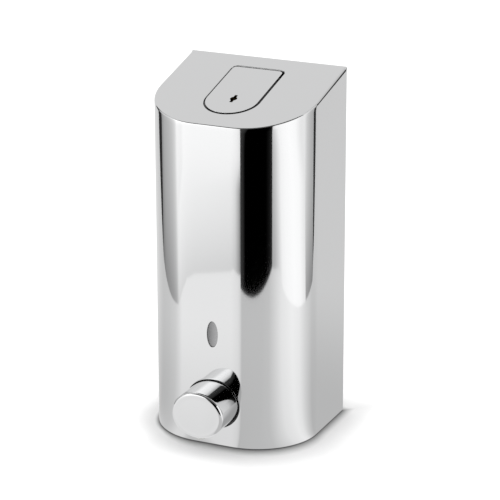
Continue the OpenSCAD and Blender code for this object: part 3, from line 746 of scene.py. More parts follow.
class Hole(NamedTuple):
    """An oval hole in the front, with a number of points round it and its lower half let down by a drop."""

    x: float
    z: float
    half_w: float
    half_h: float
    count: int
    drop: float = 0.0

    def ring(self, grow: float) -> list[Flat]:
        """Draws the outline.

        Args:
            grow: The margin that it is grown by.

        Returns:
            Its points, across and up the front.
        """
        points = []
        for k, turn in enumerate(around(self.count)):
            low = self.drop if 2 * k > self.count else 0.0
            across = (self.half_w + grow) * math.cos(turn)
            points.append((self.x + across, self.z + (self.half_h + grow) * math.sin(turn) - low))
        return points

    def covers(self, x: float, z: float, grow: float) -> bool:
        """Tells whether a place lies in the grown outline."""
        down = z - self.z if z > self.z else min(0.0, z - self.z + self.drop)
        return ((x - self.x) / (self.half_w + grow)) ** 2 + (down / (self.half_h + grow)) ** 2 < 1


class RoundedEdge(NamedTuple):
    """One step of a rounded edge: how far it lies outside the finished outline, and how deep."""

    grow: float
    depth: float


def hole_edge(radius: float, thick: float, support: float) -> list[RoundedEdge]:
    """Rounds the edge of a hole in a sheet.

    Args:
        radius: The edge's radius.
        thick: The sheet's thickness.
        support: Width of the flat band that is kept round the edge.

    Returns:
        The steps from the near face down to the far one.
    """
    edge = [RoundedEdge(radius + support, 0.0)]
    for turn in quarter(HOLE_STEPS):
        edge.append(RoundedEdge(radius * (1 - math.sin(turn)), radius * (1 - math.cos(turn))))
    return [*edge, RoundedEdge(0.0, thick)]


class Zone(NamedTuple):
    """The part of the body's grid that is worked anew round a hole, by column and row."""

    left: int
    right: int
    low: int
    high: int


@dataclass
class BodyWrap:
    """The sheet that wraps front, corners and sides and folds in along the wall."""

    form: BodyForm
    holes: tuple[Hole, ...]
    collar: float = 0.8 * MM
    clear: float = 2.2 * MM
    free_margin: float = 0.66 * MM
    facing: float = 0.5
    lip: float = 0.4 * MM
    row: float = 6.5 * MM
    foot_r: float = 0.8 * MM
    edge_r: float = 0.2 * MM

    FOOT_SHARES: ClassVar[tuple[float, ...]] = (0.0, 0.04, 0.15, 0.35, 0.65, 1.0)

    def build(self) -> None:
        """Builds the wrap with its window and button holes."""
        form, skin = self.form, Skin()
        right = form.right_half()
        end_x = form.half_w - form.flange_w
        flange = (right[-1].x - self.lip, end_x + self.lip, end_x)
        right += [PlanPoint(x, form.back_y, 0.0, 1.0) for x in flange]
        columns = form.mirrored(right) + right
        outs: list[Vector] = []
        grid = []
        levels = self.levels()
        for p in columns:
            top = form.top_z(p.y, form.rim)
            grid.append(skin.add(self.wall_point(p, z) for z in [*levels, top - self.lip, top]))
            outs += [p.out()] * len(grid[-1])
        zones = [self.zone(columns, levels, hole) for hole in self.holes]
        for c, (one, two) in enumerate(zip(grid, grid[1:])):
            cut = {r for z in zones if z.left <= c < z.right for r in range(z.low, z.high)}
            skin.strip(one, two, closed=False, skip=cut)
        for zone, hole in zip(zones, self.holes):
            outs += self.pierce(skin, grid, zone, hole)
        skin.thicken([out * -form.sheet for out in outs])
        skin.piece("body_wrap", Body.HOUSING, MIRROR, "housing_shell")

    def wall_point(self, p: PlanPoint, z: float) -> Vector:
        """Returns a point of the skin, drawn in a little where the foot is rounded."""
        low = max(0.0, 1 - z / self.foot_r)
        return Vector((p.x, p.y, z)) - p.out() * self.foot_r * (1 - math.sqrt(1 - low**2))

    def levels(self) -> list[float]:
        """Sets the rows under the sloping edge.

        Returns:
            Their heights, from the foot up.
        """
        last = self.form.top_z(self.form.front_y, self.form.rim) - 2 * self.lip
        foot = [self.foot_r * t for t in self.FOOT_SHARES] + [self.foot_r + self.lip]
        return foot + [last * t for t in steps(round(last / self.row))[1:]]

    def zone(self, columns: Sequence[PlanPoint], levels: Sequence[float], hole: Hole) -> Zone:
        """Finds the part of the grid that encloses a hole with room to spare.

        Args:
            columns: The plan point of each column.
            levels: The height of each row.
            hole: The hole.

        Returns:
            The zone.
        """
        wide = hole.half_w + self.collar + self.clear
        tall = hole.half_h + hole.drop + self.collar + self.clear
        front = [c for c, p in enumerate(columns) if p.out_y < -self.facing]
        return Zone(
            max(c for c in front if columns[c].x < hole.x - wide),
            min(c for c in front if columns[c].x > hole.x + wide),
            max((r for r, z in enumerate(levels) if z < hole.z - tall), default=0),
            min(r for r, z in enumerate(levels) if z > hole.z + tall),
        )

    def pierce(self, skin: Skin, grid: Sequence[Sequence[int]], zone: Zone, hole: Hole) -> list[Vector]:
        """Fills a zone round its hole.

        Args:
            skin: The skin that is grown.
            grid: Point numbers by column and row.
            zone: The zone to fill.
            hole: The hole in it.

        Returns:
            The outward directions of the points that were added, shorter where the edge is rounded.
        """
        form = self.form
        edge = hole_edge(self.edge_r, self.edge_r, self.collar)[:-1]
        outlines = [hole.ring(step.grow) for step in edge]
        rings = [skin.add((x, form.skin_y(x) + step.depth, z) for x, z in outline)
                 for step, outline in zip(edge, outlines)]
        skin.stack(rings[::-1])
        across, up = range(zone.left, zone.right + 1), range(zone.low, zone.high + 1)
        rim = border(lambda c, r: grid[c][r], across, up)
        free = {}
        for c in across[1:-1]:
            for r in up[1:-1]:
                place = skin.points[grid[c][r]]
                if not hole.covers(place.x, place.z, self.collar + self.free_margin):
                    free[c, r] = grid[c][r]
        for c in across[1:-1]:
            free[c, zone.low], free[c, zone.high] = grid[c][zone.low], grid[c][zone.high]
        lines = [(n, free[c, r + 1]) for (c, r), n in free.items() if (c, r + 1) in free]
        lines = [(a, b) for a, b in lines if not (a in rim and b in rim)]
        skin.sheet([rim, rings[0]], "xz", [n for n in free.values() if n not in rim], lines)
        left = [1 - step.depth / form.sheet for step in edge]
        return [form.skin_out(x) * share for share, outline in zip(left, outlines) for x, _ in outline]


@dataclass(frozen=True)
class FlapForm:
    """The D-shaped outline of the filler flap in the plane of the top."""

    half_w: float = 17.4 * MM
    arc_v: float = 33.6 * MM
    rear_v: float = 75.1 * MM
    corner_r: float = 3 * MM
    gap: float = 1.2 * MM
    tail_gap: float = 0.5 * MM
    key_v: float = 34.9 * MM
    key_len: float = 9.3 * MM
    key_w: float = 2 * MM
    key_d: float = 4.6 * MM
    round_steps: int = 48
    corner_steps: int = 8
    key_steps: int = 10

    def outline(self, grow: float, behind: float = 0.0) -> list[Flat]:
        """Draws the outline.

        Args:
            grow: The margin that it is grown by all round.
            behind: A further margin at its rear.

        Returns:
            Its points, across the top and up its slope.
        """
        half, end, r = self.half_w + grow, self.rear_v + grow + behind, self.corner_r + grow
        points = arc((0.0, self.arc_v), half, 180, 360, self.round_steps)
        points += arc((half - r, end - r), r, 0, 90, self.corner_steps)
        return points + arc((r - half, end - r), r, 90, 180, self.corner_steps)

    def keyhole(self, grow: float) -> list[Flat]:
        """Draws the keyhole: a slot with a round middle.

        Args:
            grow: The margin that it is grown by.

        Returns:
            Its points, across the top and up its slope.
        """
        half_w, half_len, r = self.key_w / 2 + grow, self.key_len / 2 + grow, self.key_d / 2 + grow
        lean = math.degrees(math.acos(half_w / r))
        right = arc((0.0, self.key_v), r, -lean, lean, self.key_steps)
        left = arc((0.0, self.key_v), r, 180 - lean, 180 + lean, self.key_steps)
        low, high = self.key_v - half_len, self.key_v + half_len
        return [(half_w, low), *right, (half_w, high), (-half_w, high), *left, (-half_w, low)]


@dataclass
class TopSheet:
    """The sloping top with its rounded rim, the filler opening and four weld studs."""

    form: BodyForm
    flap: FlapForm
    front_r: float = 0.9 * MM
    side_r: float = 2.1 * MM
    wall_r: float = 0.3 * MM
    rim_steps: int = 9
    support: float = 0.35 * MM
    hole_r: float = 0.6 * MM
    stud_r: float = 1.5 * MM
    stud_len: float = 6 * MM
    stud_chamfer: float = 0.3 * MM
    stud_x: float = 24.175 * MM
    stud_vs: tuple[float, float] = (29.6 * MM, 57.6 * MM)
    stud_steps: int = 24

    def build(self) -> None:
        """Builds the top."""
        form, skin = self.form, Skin()
        plan = form.closed_plan()
        wall = ((form.sheet, form.sheet), (form.sheet, form.rim), (0.0, form.rim))
        rims = [skin.add(self.inset_point(p, inset, depth) for p in plan) for inset, depth in wall]
        rims += [skin.add(self.rim_point(p, share) for p in plan) for share in steps(self.rim_steps)]
        rims.append(skin.add(self.inset_point(p, self.rim_r(p) + self.support) for p in plan))
        holes = []
        for step in hole_edge(self.hole_r, form.sheet, self.support):
            outline = self.flap.outline(self.flap.gap + step.grow, self.flap.tail_gap)
            holes.append(form.lay(skin, outline, -step.depth))
        skin.plate(rims, holes)
        self.add_studs(skin)
        skin.piece("top_sheet", Body.HOUSING, MIRROR, "top_plate")

    def rim_r(self, p: PlanPoint) -> float:
        """Sets the rim's rounding, which grows along the sides and is sharp at the wall.

        Args:
            p: The plan point.

        Returns:
            The radius.
        """
        share = (p.y - self.form.front_y) / (self.form.back_y - self.form.front_y)
        side = self.front_r + (self.side_r - self.front_r) * share
        return side + (self.wall_r - side) * max(0.0, p.out_y)

    def rim_point(self, p: PlanPoint, share: float) -> Vector:
        """Returns a point on the rounded rim, from the wall at share 0 to the top at 1."""
        r = self.rim_r(p)
        return self.inset_point(p, r, r) + p.out().slerp(self.form.up, share) * r

    def inset_point(self, p: PlanPoint, inset: float, depth: float = 0.0) -> Vector:
        """Finds a place inside the plan and under the top.

        Args:
            p: The plan point.
            inset: How far inside it the place lies.
            depth: How far under the top.

        Returns:
            The place.
        """
        place = Vector((p.x, p.y, 0.0)) - p.out() * inset
        side = self.form.half_w - inset
        place.x = min(side, max(-side, place.x))
        place.y = min(self.form.back_y - inset, place.y)
        place.z = self.form.top_z(place.y, depth)
        return place

    def add_studs(self, skin: Skin) -> None:
        """Adds the four studs under the top.

        Args:
            skin: The skin that is grown.
        """
        r, end = self.stud_r, -self.stud_len
        profile = [(r, 0.0), (r, end + self.stud_chamfer), (r - self.stud_chamfer, end)]
        for side in (-1, 1):
            for v in self.stud_vs:
                foot = self.form.on_top(side * self.stud_x, v, -self.form.sheet)
                at = Matrix.Translation(foot) @ Matrix.Rotation(self.form.slope, 4, "X")
                rings = skin.spin(profile, self.stud_steps, at)
                skin.cap(rings[0], rings[-1])


@dataclass
class FlapLid:
    """The flush filler flap with its keyhole and two hinge ears."""

    form: BodyForm
    flap: FlapForm
    edge_r: float = 0.1 * MM
    edge_steps: int = 4
    support: float = 0.35 * MM
    key_r: float = 0.1 * MM
    hinge_v: float = 69.4 * MM
    hinge_drop: float = 3.2 * MM
    pin_r: float = 1.31 * MM
    ear_r: float = 3 * MM
    ear_w: float = 2 * MM
    ear_inset: float = 2.1 * MM
    ear_steps: int = 32
    play_u: float = -0.25 * MM
    play_v: float = 0.2 * MM

    def outline(self, grow: float) -> list[Flat]:
        """Returns the lid's outline, which lies a little off the middle of its hole."""
        return [(u + self.play_u, v + self.play_v) for u, v in self.flap.outline(grow)]

    def build(self) -> None:
        """Builds the flap."""
        form, skin = self.form, Skin()
        rims = [form.lay(skin, self.outline(0.0), -form.sheet)]
        for turn in quarter(self.edge_steps):
            grow = -self.edge_r * (1 - math.cos(turn))
            rims.append(form.lay(skin, self.outline(grow), -self.edge_r * (1 - math.sin(turn))))
        rims.append(form.lay(skin, self.outline(-self.edge_r - self.support)))
        holes = [form.lay(skin, self.flap.keyhole(step.grow), -step.depth)
                 for step in hole_edge(self.key_r, form.sheet, self.support)]
        skin.plate(rims, holes)
        for side in (-1, 1):
            self.add_ear(skin, side * (self.flap.half_w - self.ear_inset - self.ear_w / 2))
        skin.piece("flap_lid", Body.FLAP, MIRROR, "filler_flap")

    def add_ear(self, skin: Skin, across: float) -> None:
        """Adds one ear: a lug with the hole for the hinge pin.

        Args:
            skin: The skin that is grown.
            across: The ear's place across the top.
        """
        shoulder = self.hinge_drop - self.form.sheet
        lug = arc((0.0, 0.0), self.ear_r, 180, 360, self.ear_steps // 2)
        lug += [(self.ear_r, shoulder), (-self.ear_r, shoulder)]
        hole = [(self.pin_r * math.cos(a), self.pin_r * math.sin(a)) for a in around(self.ear_steps)]
        sides = []
        for x in (across - self.ear_w / 2, across + self.ear_w / 2):
            loops = [skin.add(self.form.on_top(x, self.hinge_v + v, h - self.hinge_drop) for v, h in loop)
                     for loop in (lug, hole)]
            skin.sheet(loops, "yz")
            sides.append(loops)
        for one, two in zip(*sides):
            skin.strip(one, two)


@dataclass(frozen=True)
class PumpAxis:
    """The axis of the button and pump, with distances going in from the front face."""

    front_y: float
    z: float

    def placed(self) -> Matrix:
        """Returns the matrix that puts a Z axis on the pump's, going inward."""
        return Matrix.Translation((0.0, self.front_y, self.z)) @ Matrix.Rotation(-math.pi / 2, 4, "X")


@dataclass
class ButtonShell:
    """The hollow oval push button with its rounded front edge and the hole for the nozzle."""

    axis: PumpAxis
    half_w: float
    half_h: float
    out: float
    tuck: float = 2 * MM
    edge_r: float = 2 * MM
    wall: float = 1.2 * MM
    face: float = 1.5 * MM
    crown: float = 0.1 * MM
    support: float = 0.3 * MM
    nozzle_back: float = 7 * MM
    nozzle_r: float = 2.9 * MM
    nozzle_clear: float = 1.2 * MM
    segments: int = 144
    rows: int = 14
    edge_steps: int = 12
    hole_steps: int = 40

    FACE_SHARES: ClassVar[tuple[float, ...]] = (0.97, 0.8, 0.6, 0.4, 0.2, 0.05)
    HOLLOW_SHARES: ClassVar[tuple[float, ...]] = (0.7, 0.35, 0.05)

    @property
    def stretch(self) -> float:
        """How much wider than high the button is."""
        return self.half_w / self.half_h

    @property
    def at(self) -> Matrix:
        """Puts a round form on the pump's axis and stretches it sideways to the oval."""
        return self.axis.placed() @ Matrix.Diagonal((self.stretch, 1.0, 1.0, 1.0))

    def build(self) -> None:
        """Builds the button, whose face is crowned a little."""
        skin = Skin()
        shoulder = self.edge_r - self.out
        flat_r = self.half_h - self.edge_r
        front = arc((flat_r, shoulder), self.edge_r, 0, -90, self.edge_steps)
        front += [(flat_r * t, self.crown * t**2 - self.out) for t in self.FACE_SHARES]
        rings = skin.spin(front, self.segments, self.at)
        skin.cap(rings[-1])
        inner_r = self.half_h - self.wall
        ceiling = self.face - self.out
        hollow = [(inner_r, ceiling + self.support), (inner_r - self.support, ceiling)]
        hollow += [(inner_r * t, ceiling) for t in self.HOLLOW_SHARES]
        back = skin.spin(hollow, self.segments, self.at)
        skin.cap(back[-1])
        outer = self.wall_rows(skin, self.half_h, shoulder, rings[0])
        inner = self.wall_rows(skin, inner_r, ceiling + self.support, back[0])
        for one, two in zip(outer, inner):
            skin.strip(one, two)
        skin.piece("button_shell", Body.BUTTON, CHROME, "button_cap")

    def wall_rows(self, skin: Skin, r: float, low: float, first: list[int]) -> tuple[list[int], list[int]]:
        """Adds the wall of one side with its nozzle hole.

        Args:
            skin: The skin that is grown.
            r: Half height of this side of the wall.
            low: Depth at which the wall starts.
            first: The ring that the wall starts from.

        Returns:
            The ring at the button's open end and the ring of the hole.
        """
        spans = [low + (self.tuck - low) * t for t in steps(self.rows)]
        rings = [first]
        for depth in spans[1:]:
            oval = [(r * math.cos(a), r * math.sin(a), depth) for a in around(self.segments)]
            rings.append(skin.add(self.at @ Vector(p) for p in oval))
        centre = self.nozzle_back - self.out
        reach = self.nozzle_r + self.nozzle_clear
        side = math.ceil(reach / (r * self.stretch) / (math.tau / self.segments))
        bottom = self.segments // 4
        across = range(bottom - side, bottom + side + 1)
        top_row = max(k for k, d in enumerate(spans) if d < centre - reach)
        end_row = min(k for k, d in enumerate(spans) if d > centre + reach)
        for row, (one, two) in enumerate(zip(rings, rings[1:])):
            skin.strip(one, two, skip=across[:-1] if top_row <= row < end_row else ())
        hole = skin.add(self.hole_point(r, turn, centre) for turn in around(self.hole_steps))
        skin.sheet([border(lambda k, row: rings[row][k], across, range(top_row, end_row + 1)), hole])
        return rings[-1], hole

    def hole_point(self, r: float, turn: float, centre: float) -> Vector:
        """Returns a point on the edge of the nozzle hole in a wall of that half height."""
        x = self.nozzle_r * math.cos(turn) / self.stretch
        return self.at @ Vector((x, math.sqrt(r * r - x * x), centre + self.nozzle_r * math.sin(turn)))


@dataclass
class WindowLens:
    """The dished oval lens of the sight window, with the flange that holds it behind the front."""

    front_y: float
    hole: Hole
    gap: float = 0.15 * MM
    recess: float = 0.55 * MM
    dish: float = 0.5 * MM
    edge_r: float = 0.25 * MM
    edge_steps: int = 3
    flange: float = 3 * MM
    flange_in: float = 2 * MM
    back: float = 4 * MM

    DISH_SHARES: ClassVar[tuple[float, ...]] = (0.12, 0.3, 0.5, 0.7, 0.85, 0.94)

    def build(self) -> None:
        """Builds the lens."""
        skin = Skin()
        rings = []
        for share in self.DISH_SHARES:
            scaled = self.hole._replace(half_w=self.hole.half_w * share, half_h=self.hole.half_h * share)
            rings.append(self.ring(skin, scaled, 0.0, self.recess + self.dish * (1 - share**2)))
        rim = [(-self.gap - self.edge_r * (1 - math.sin(a)), self.recess + self.edge_r * (1 - math.cos(a)))
               for a in quarter(self.edge_steps)[1:]]
        flange = [(-self.gap, self.flange_in), (self.flange, self.flange_in), (self.flange, self.back)]
        rings += [self.ring(skin, self.hole, grow, depth) for grow, depth in [*rim, *flange]]
        skin.stack(rings)
        skin.cap(rings[0], rings[-1])
        skin.piece("window_lens", Body.HOUSING, SMOKY, "sight_lens")

    def ring(self, skin: Skin, hole: Hole, grow: float, depth: float) -> list[int]:
        """Adds one oval ring at a depth behind the front."""
        return skin.add((x, self.front_y + depth, z) for x, z in hole.ring(grow))


@dataclass
class ReturnCoil:
    """The return spring between the button's plate and the pump barrel, with closed ends."""

    axis: PumpAxis
    start: float
    end: float
    stroke: float = 10 * MM
    mean_r: float = 12.3 * MM
    wire_r: float = 0.7 * MM
    turns: float = 6.0
    closed_turns: float = 0.75
    per_turn: int = 40
    sides: int = 10

    def build(self) -> None:
        """Builds the coil."""
        skin = Skin()
        at = self.axis.placed()
        rings = []
        for k in range(round(self.turns * self.per_turn) + 1):
            turn = math.tau * k / self.per_turn
            wire = arc((self.mean_r, self.depth(k / self.per_turn)), self.wire_r, 0, 360, self.sides)[:-1]
            cos, sin = math.cos(turn), math.sin(turn)
            rings.append(skin.add(at @ Vector((r * cos, r * sin, d)) for r, d in wire))
        skin.stack(rings)
        skin.cap(rings[0], rings[-1])
        item = skin.piece("return_coil", Body.HOUSING, FASTENER, "return_spring")
        anchor = (0.0, self.axis.front_y + self.end, self.axis.z)
        pressed = 1 - self.stroke / (self.end - self.start)
        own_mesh(item)

    def depth(self, turn: float) -> float:
        """Finds the wire's depth: closed at both ends, even in between.

        Args:
            turn: The turn, counted from the button.

        Returns:
            The depth behind the front.
        """
        share = (turn - self.closed_turns) / (self.turns - 2 * self.closed_turns)
        first = min(1.0, turn / self.closed_turns)
        last = max(0.0, (turn - self.turns + self.closed_turns) / self.closed_turns)
        span = self.end - self.start - 4 * self.wire_r
        return self.start + self.wire_r * (1 + first + last) + span * min(1.0, max(0.0, share))


@dataclass
class PanScrews:
    """Pan-head screws with a crossed recess, put in from below, that stand for one node."""

    name: str
    node: str
    places: Sequence[Flat]
    seat: float = 2 * MM
    head_r: float = 2.8 * MM
    shank_r: float = 1.5 * MM
    tip_len: float = 0.4 * MM
    tip_share: float = 0.7
    dome: float = 0.5 * MM
    recess: float = 0.9 * MM
    recess_share: float = 0.7
    cross_w: float = 0.75 * MM
    cross_len: float = 3.2 * MM
    segments: int = 40

    DOME_TURNS: ClassVar[tuple[float, ...]] = (0.0, 0.3, 0.6, 0.9)

    def build(self) -> None:
        """Builds the screws."""
        low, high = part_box(self.node)
        skin = Skin()
        for x, y in self.places:
            self.add_screw(skin, Vector((x, y, 0.0)), low.z, high.z)
        skin.piece(self.name, Body.HOUSING, FASTENER, self.node)

    def add_screw(self, skin: Skin, at: Vector, low: float, tip: float) -> None:
        """Adds one screw.

        Args:
            skin: The skin that is grown.
            at: The screw's place, at height 0.
            low: Height of its head.
            tip: Height of its tip.
        """
        r, rim = self.shank_r, low + self.dome
        shank = [(r * self.tip_share, tip), (r, tip - self.tip_len)]
        shank += [(r, self.seat), (self.head_r, self.seat)]
        head = [(self.head_r * math.cos(a), rim - self.dome * math.sin(a)) for a in self.DOME_TURNS]
        rings = skin.spin([*shank, *head], self.segments, Matrix.Translation(at))
        skin.cap(rings[0])
        depth = skin.points[rings[-1][0]].z
        mouth = skin.add((at.x + x, at.y + y, depth) for x, y in self.cross(1.0))
        sunk = depth + self.recess
        floor = skin.add((at.x + x, at.y + y, sunk) for x, y in self.cross(self.recess_share))
        skin.sheet([rings[-1], mouth])
        skin.strip(mouth, floor)
        skin.cap(floor)

    def cross(self, share: float) -> list[Flat]:
        """Draws the crossed recess.

        Args:
            share: The reach of its arms as a share of the full one.

        Returns:
            Its points round the screw's axis.
        """
        w, reach = self.cross_w / 2, self.cross_len / 2 * share
        points = []
        for cos, sin in ((1, 0), (0, 1), (-1, 0), (0, -1)):
            points += [(x * cos - y * sin, x * sin + y * cos) for x, y in ((reach, -w), (reach, w), (w, w))]
        return points


@dataclass
class PlainPieces:
    """The pieces whose built form is right as it is: each gets its finish, and some broken edges."""

    edge: float = 0.15 * MM
    edge_segments: int = 2
    edge_angle: float = math.radians(50)

    FINISHES: ClassVar[dict[Finish, tuple[str, ...]]] = {
        SATIN: ("back_plate", "base_plate", "wall_bracket", "hinge_pin", "lock_case", "lock_tongue"),
        FASTENER: ("throat_nuts", "tongue_screw", "inlet_ball"),
        BRASS: ("lock_spindle",),
        BLACK: ("filler_throat", "button_guide"),
        WHITE: ("pump_barrel", "barrel_nut", "plunger", "dip_elbow", "outlet_nozzle", "guide_bush",
                "ball_retainer"),
        MILKY: ("tank",),
        RUBBER: ("lens_gasket", "tank_seal", "piston_ring", "drip_valve"),
    }
    EDGED: ClassVar[tuple[str, ...]] = ("back_plate", "base_plate", "wall_bracket", "lock_tongue")

    def dress(self) -> None:
        """Dresses each piece."""
        for finish, names in self.FINISHES.items():
            for name in names:
                finish.dress(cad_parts[name])
                log.info("%s: kept form, %s", name, finish.slot.value)
        for name in self.EDGED:
            self.soften(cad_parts[name])

    def soften(self, item: bpy.types.Object) -> None:
        """Breaks the sharp edges of a piece.

        Args:
            item: The piece.
        """
        bevel = item.modifiers.new("broken_edges", "BEVEL")
        bevel.width = self.edge
        bevel.segments = self.edge_segments
        bevel.limit_method = "ANGLE"
        bevel.angle_limit = self.edge_angle


def stage(name: str, skin: Skin, material: bpy.types.Material, mirrored_only: bool = True) -> None:
    """Adds a thing of the studio.

    Args:
        name: Its name.
        skin: Its shape.
        material: Its paint or glow.
        mirrored_only: Whether only reflections show it.
    """
    mesh = skin.mesh(name)
    mesh.materials.append(material)
    item = put_in_scene(name, mesh)
    if mirrored_only:
        for ray in ("camera", "diffuse", "shadow", "volume_scatter"):
            setattr(item, f"visible_{ray}", False)


def even(level: float) -> tuple[Flat, ...]:
    """Returns stops of the same level all round."""
    return (-180.0, level), (180.0, level)


@dataclass(frozen=True)
class Panel:
    """A studio panel that is seen only in reflections.

    Its light goes through stops of angle about the object, and falls off from the height of full light
    to the foot. Between the heights of the bend the stops turn by some degrees. Between those of the
    crown they turn once more and the light changes.
    """

    name: str
    foot: tuple[Flat, ...]
    stops: tuple[Flat, ...]
    head: tuple[Flat, ...] = ()
    low: float = -1 * MM
    top: float = 0.3
    foot_light: float = 1.0
    full_light: float = 0.16
    bend: Flat = (0.065, 0.1)
    bend_turn: float = 0.0
    crown: Flat = (0.13, 0.2)
    crown_turn: float = 0.0
    crown_light: float = 1.0

    def build(self) -> None:
        """Builds the panel from its foot to its head."""
        skin = Skin()
        foot = skin.add((x, y, self.low) for x, y in self.foot)
        head = skin.add((x, y, self.top) for x, y in self.head or self.foot)
        skin.strip(foot, head, closed=False)
        stage(self.name, skin, self.light())

    def light(self) -> bpy.types.Material:
        """Makes the panel's glow.

        Returns:
            The material.
        """
        graph = Graph.of_material(self.name)
        high = graph.along("Z")
        low = (1.0 - high * (1 / self.full_light)).at_least(0.0)
        crown = high.smooth(*self.crown)
        rise = (1.0 - (1 - self.foot_light) * low * low) * crown.between(1.0, self.crown_light)
        turn = graph.azimuth() - high.smooth(*self.bend) * self.bend_turn - crown * self.crown_turn
        glow = rise * graph.through(turn, self.stops)
        return graph.end(graph.node("ShaderNodeEmission", {"Color": glow}))


LEFT_EDGE = (-0.386, 0.033)
LEFT_FOLD = (-0.24, -0.164)
BLACK_EDGE = (0.3082, -0.2559)
RIGHT_BOW = (BLACK_EDGE, (0.352, -0.19), (0.327, -0.12), (0.312, 0.0))
RIGHT_FOLD = (0.29, 0.122)
RIGHT_FOLD_HEAD = (0.301, 0.0685)
RIGHT_EDGE = (0.264, 0.232)
DARK = even(0.04)
PANELS = (
    Panel("left_gap", ((-0.75, 0.262), LEFT_EDGE), DARK, top=0.9),
    Panel(
        "left_return", (LEFT_EDGE, (-0.348, -0.012), LEFT_FOLD),
        ((-95.0, 0.47), (-86.0, 0.68), (-74.0, 0.79), (-66.0, 0.91), (-60.0, 1.1), (-55.7, 1.45)),
        foot_light=0.58, crown_light=1.4,
    ),
    Panel(
        "left_diffuser",
        (LEFT_FOLD, (-0.236, -0.224), (-0.216, -0.28), (-0.15, -0.332), (-0.104, -0.362), (-0.012, -0.368)),
        ((-55.7, 1.5), (-51.0, 1.62), (-26.0, 1.58), (-18.0, 1.48), (-12.0, 1.3), (-6.0, 0.8), (-1.9, 0.3)),
        foot_light=0.69, bend_turn=9.0, crown_turn=-8.0, crown_light=1.5,
    ),
    Panel(
        "black_panel", ((-0.014, -0.337), BLACK_EDGE),
        ((-9.0, 0.085), (-2.0, 0.06), (2.0, 0.035), (5.5, 0.0), (40.0, 0.0), (46.0, 0.01), (50.9, 0.05)),
        bend=(0.11, 0.17), bend_turn=7.0,
    ),
    Panel(
        "right_diffuser", (*RIGHT_BOW, RIGHT_FOLD),
        ((50.3, 0.6), (56.0, 0.78), (60.5, 1.0), (64.5, 1.25), (68.5, 1.47), (76.0, 1.56), (90.0, 1.63),
         (102.0, 1.58), (112.8, 1.3)),
        (*RIGHT_BOW, RIGHT_FOLD_HEAD),
        foot_light=0.985, bend=(-0.01, 0.1), bend_turn=-4.5, crown=(0.09, 0.14), crown_turn=-8.0,
    ),
    Panel(
        "right_return", (RIGHT_FOLD, RIGHT_EDGE),
        ((102.8, 1.35), (108.8, 1.26), (114.0, 0.97), (118.0, 0.86), (122.0, 0.77), (127.0, 0.68),
         (131.0, 0.66)),
        (RIGHT_FOLD_HEAD, RIGHT_EDGE), foot_light=0.58, full_light=0.12,
    ),
    Panel("right_gap", (RIGHT_EDGE, (0.29, 0.27), (0.312, 0.32), (0.49, 0.63)), DARK, top=0.9),
    Panel("right_back", ((0.708, 0.906), (0.575, 0.996), (0.355, 1.094)), even(0.03), top=0.5),
    Panel(
        "dark_corner", ((0.32, 0.28), (0.14, 0.44)), even(0.06),
        low=0.26, top=0.85, crown=(0.28, 0.46), crown_light=15.0,
    ),
)


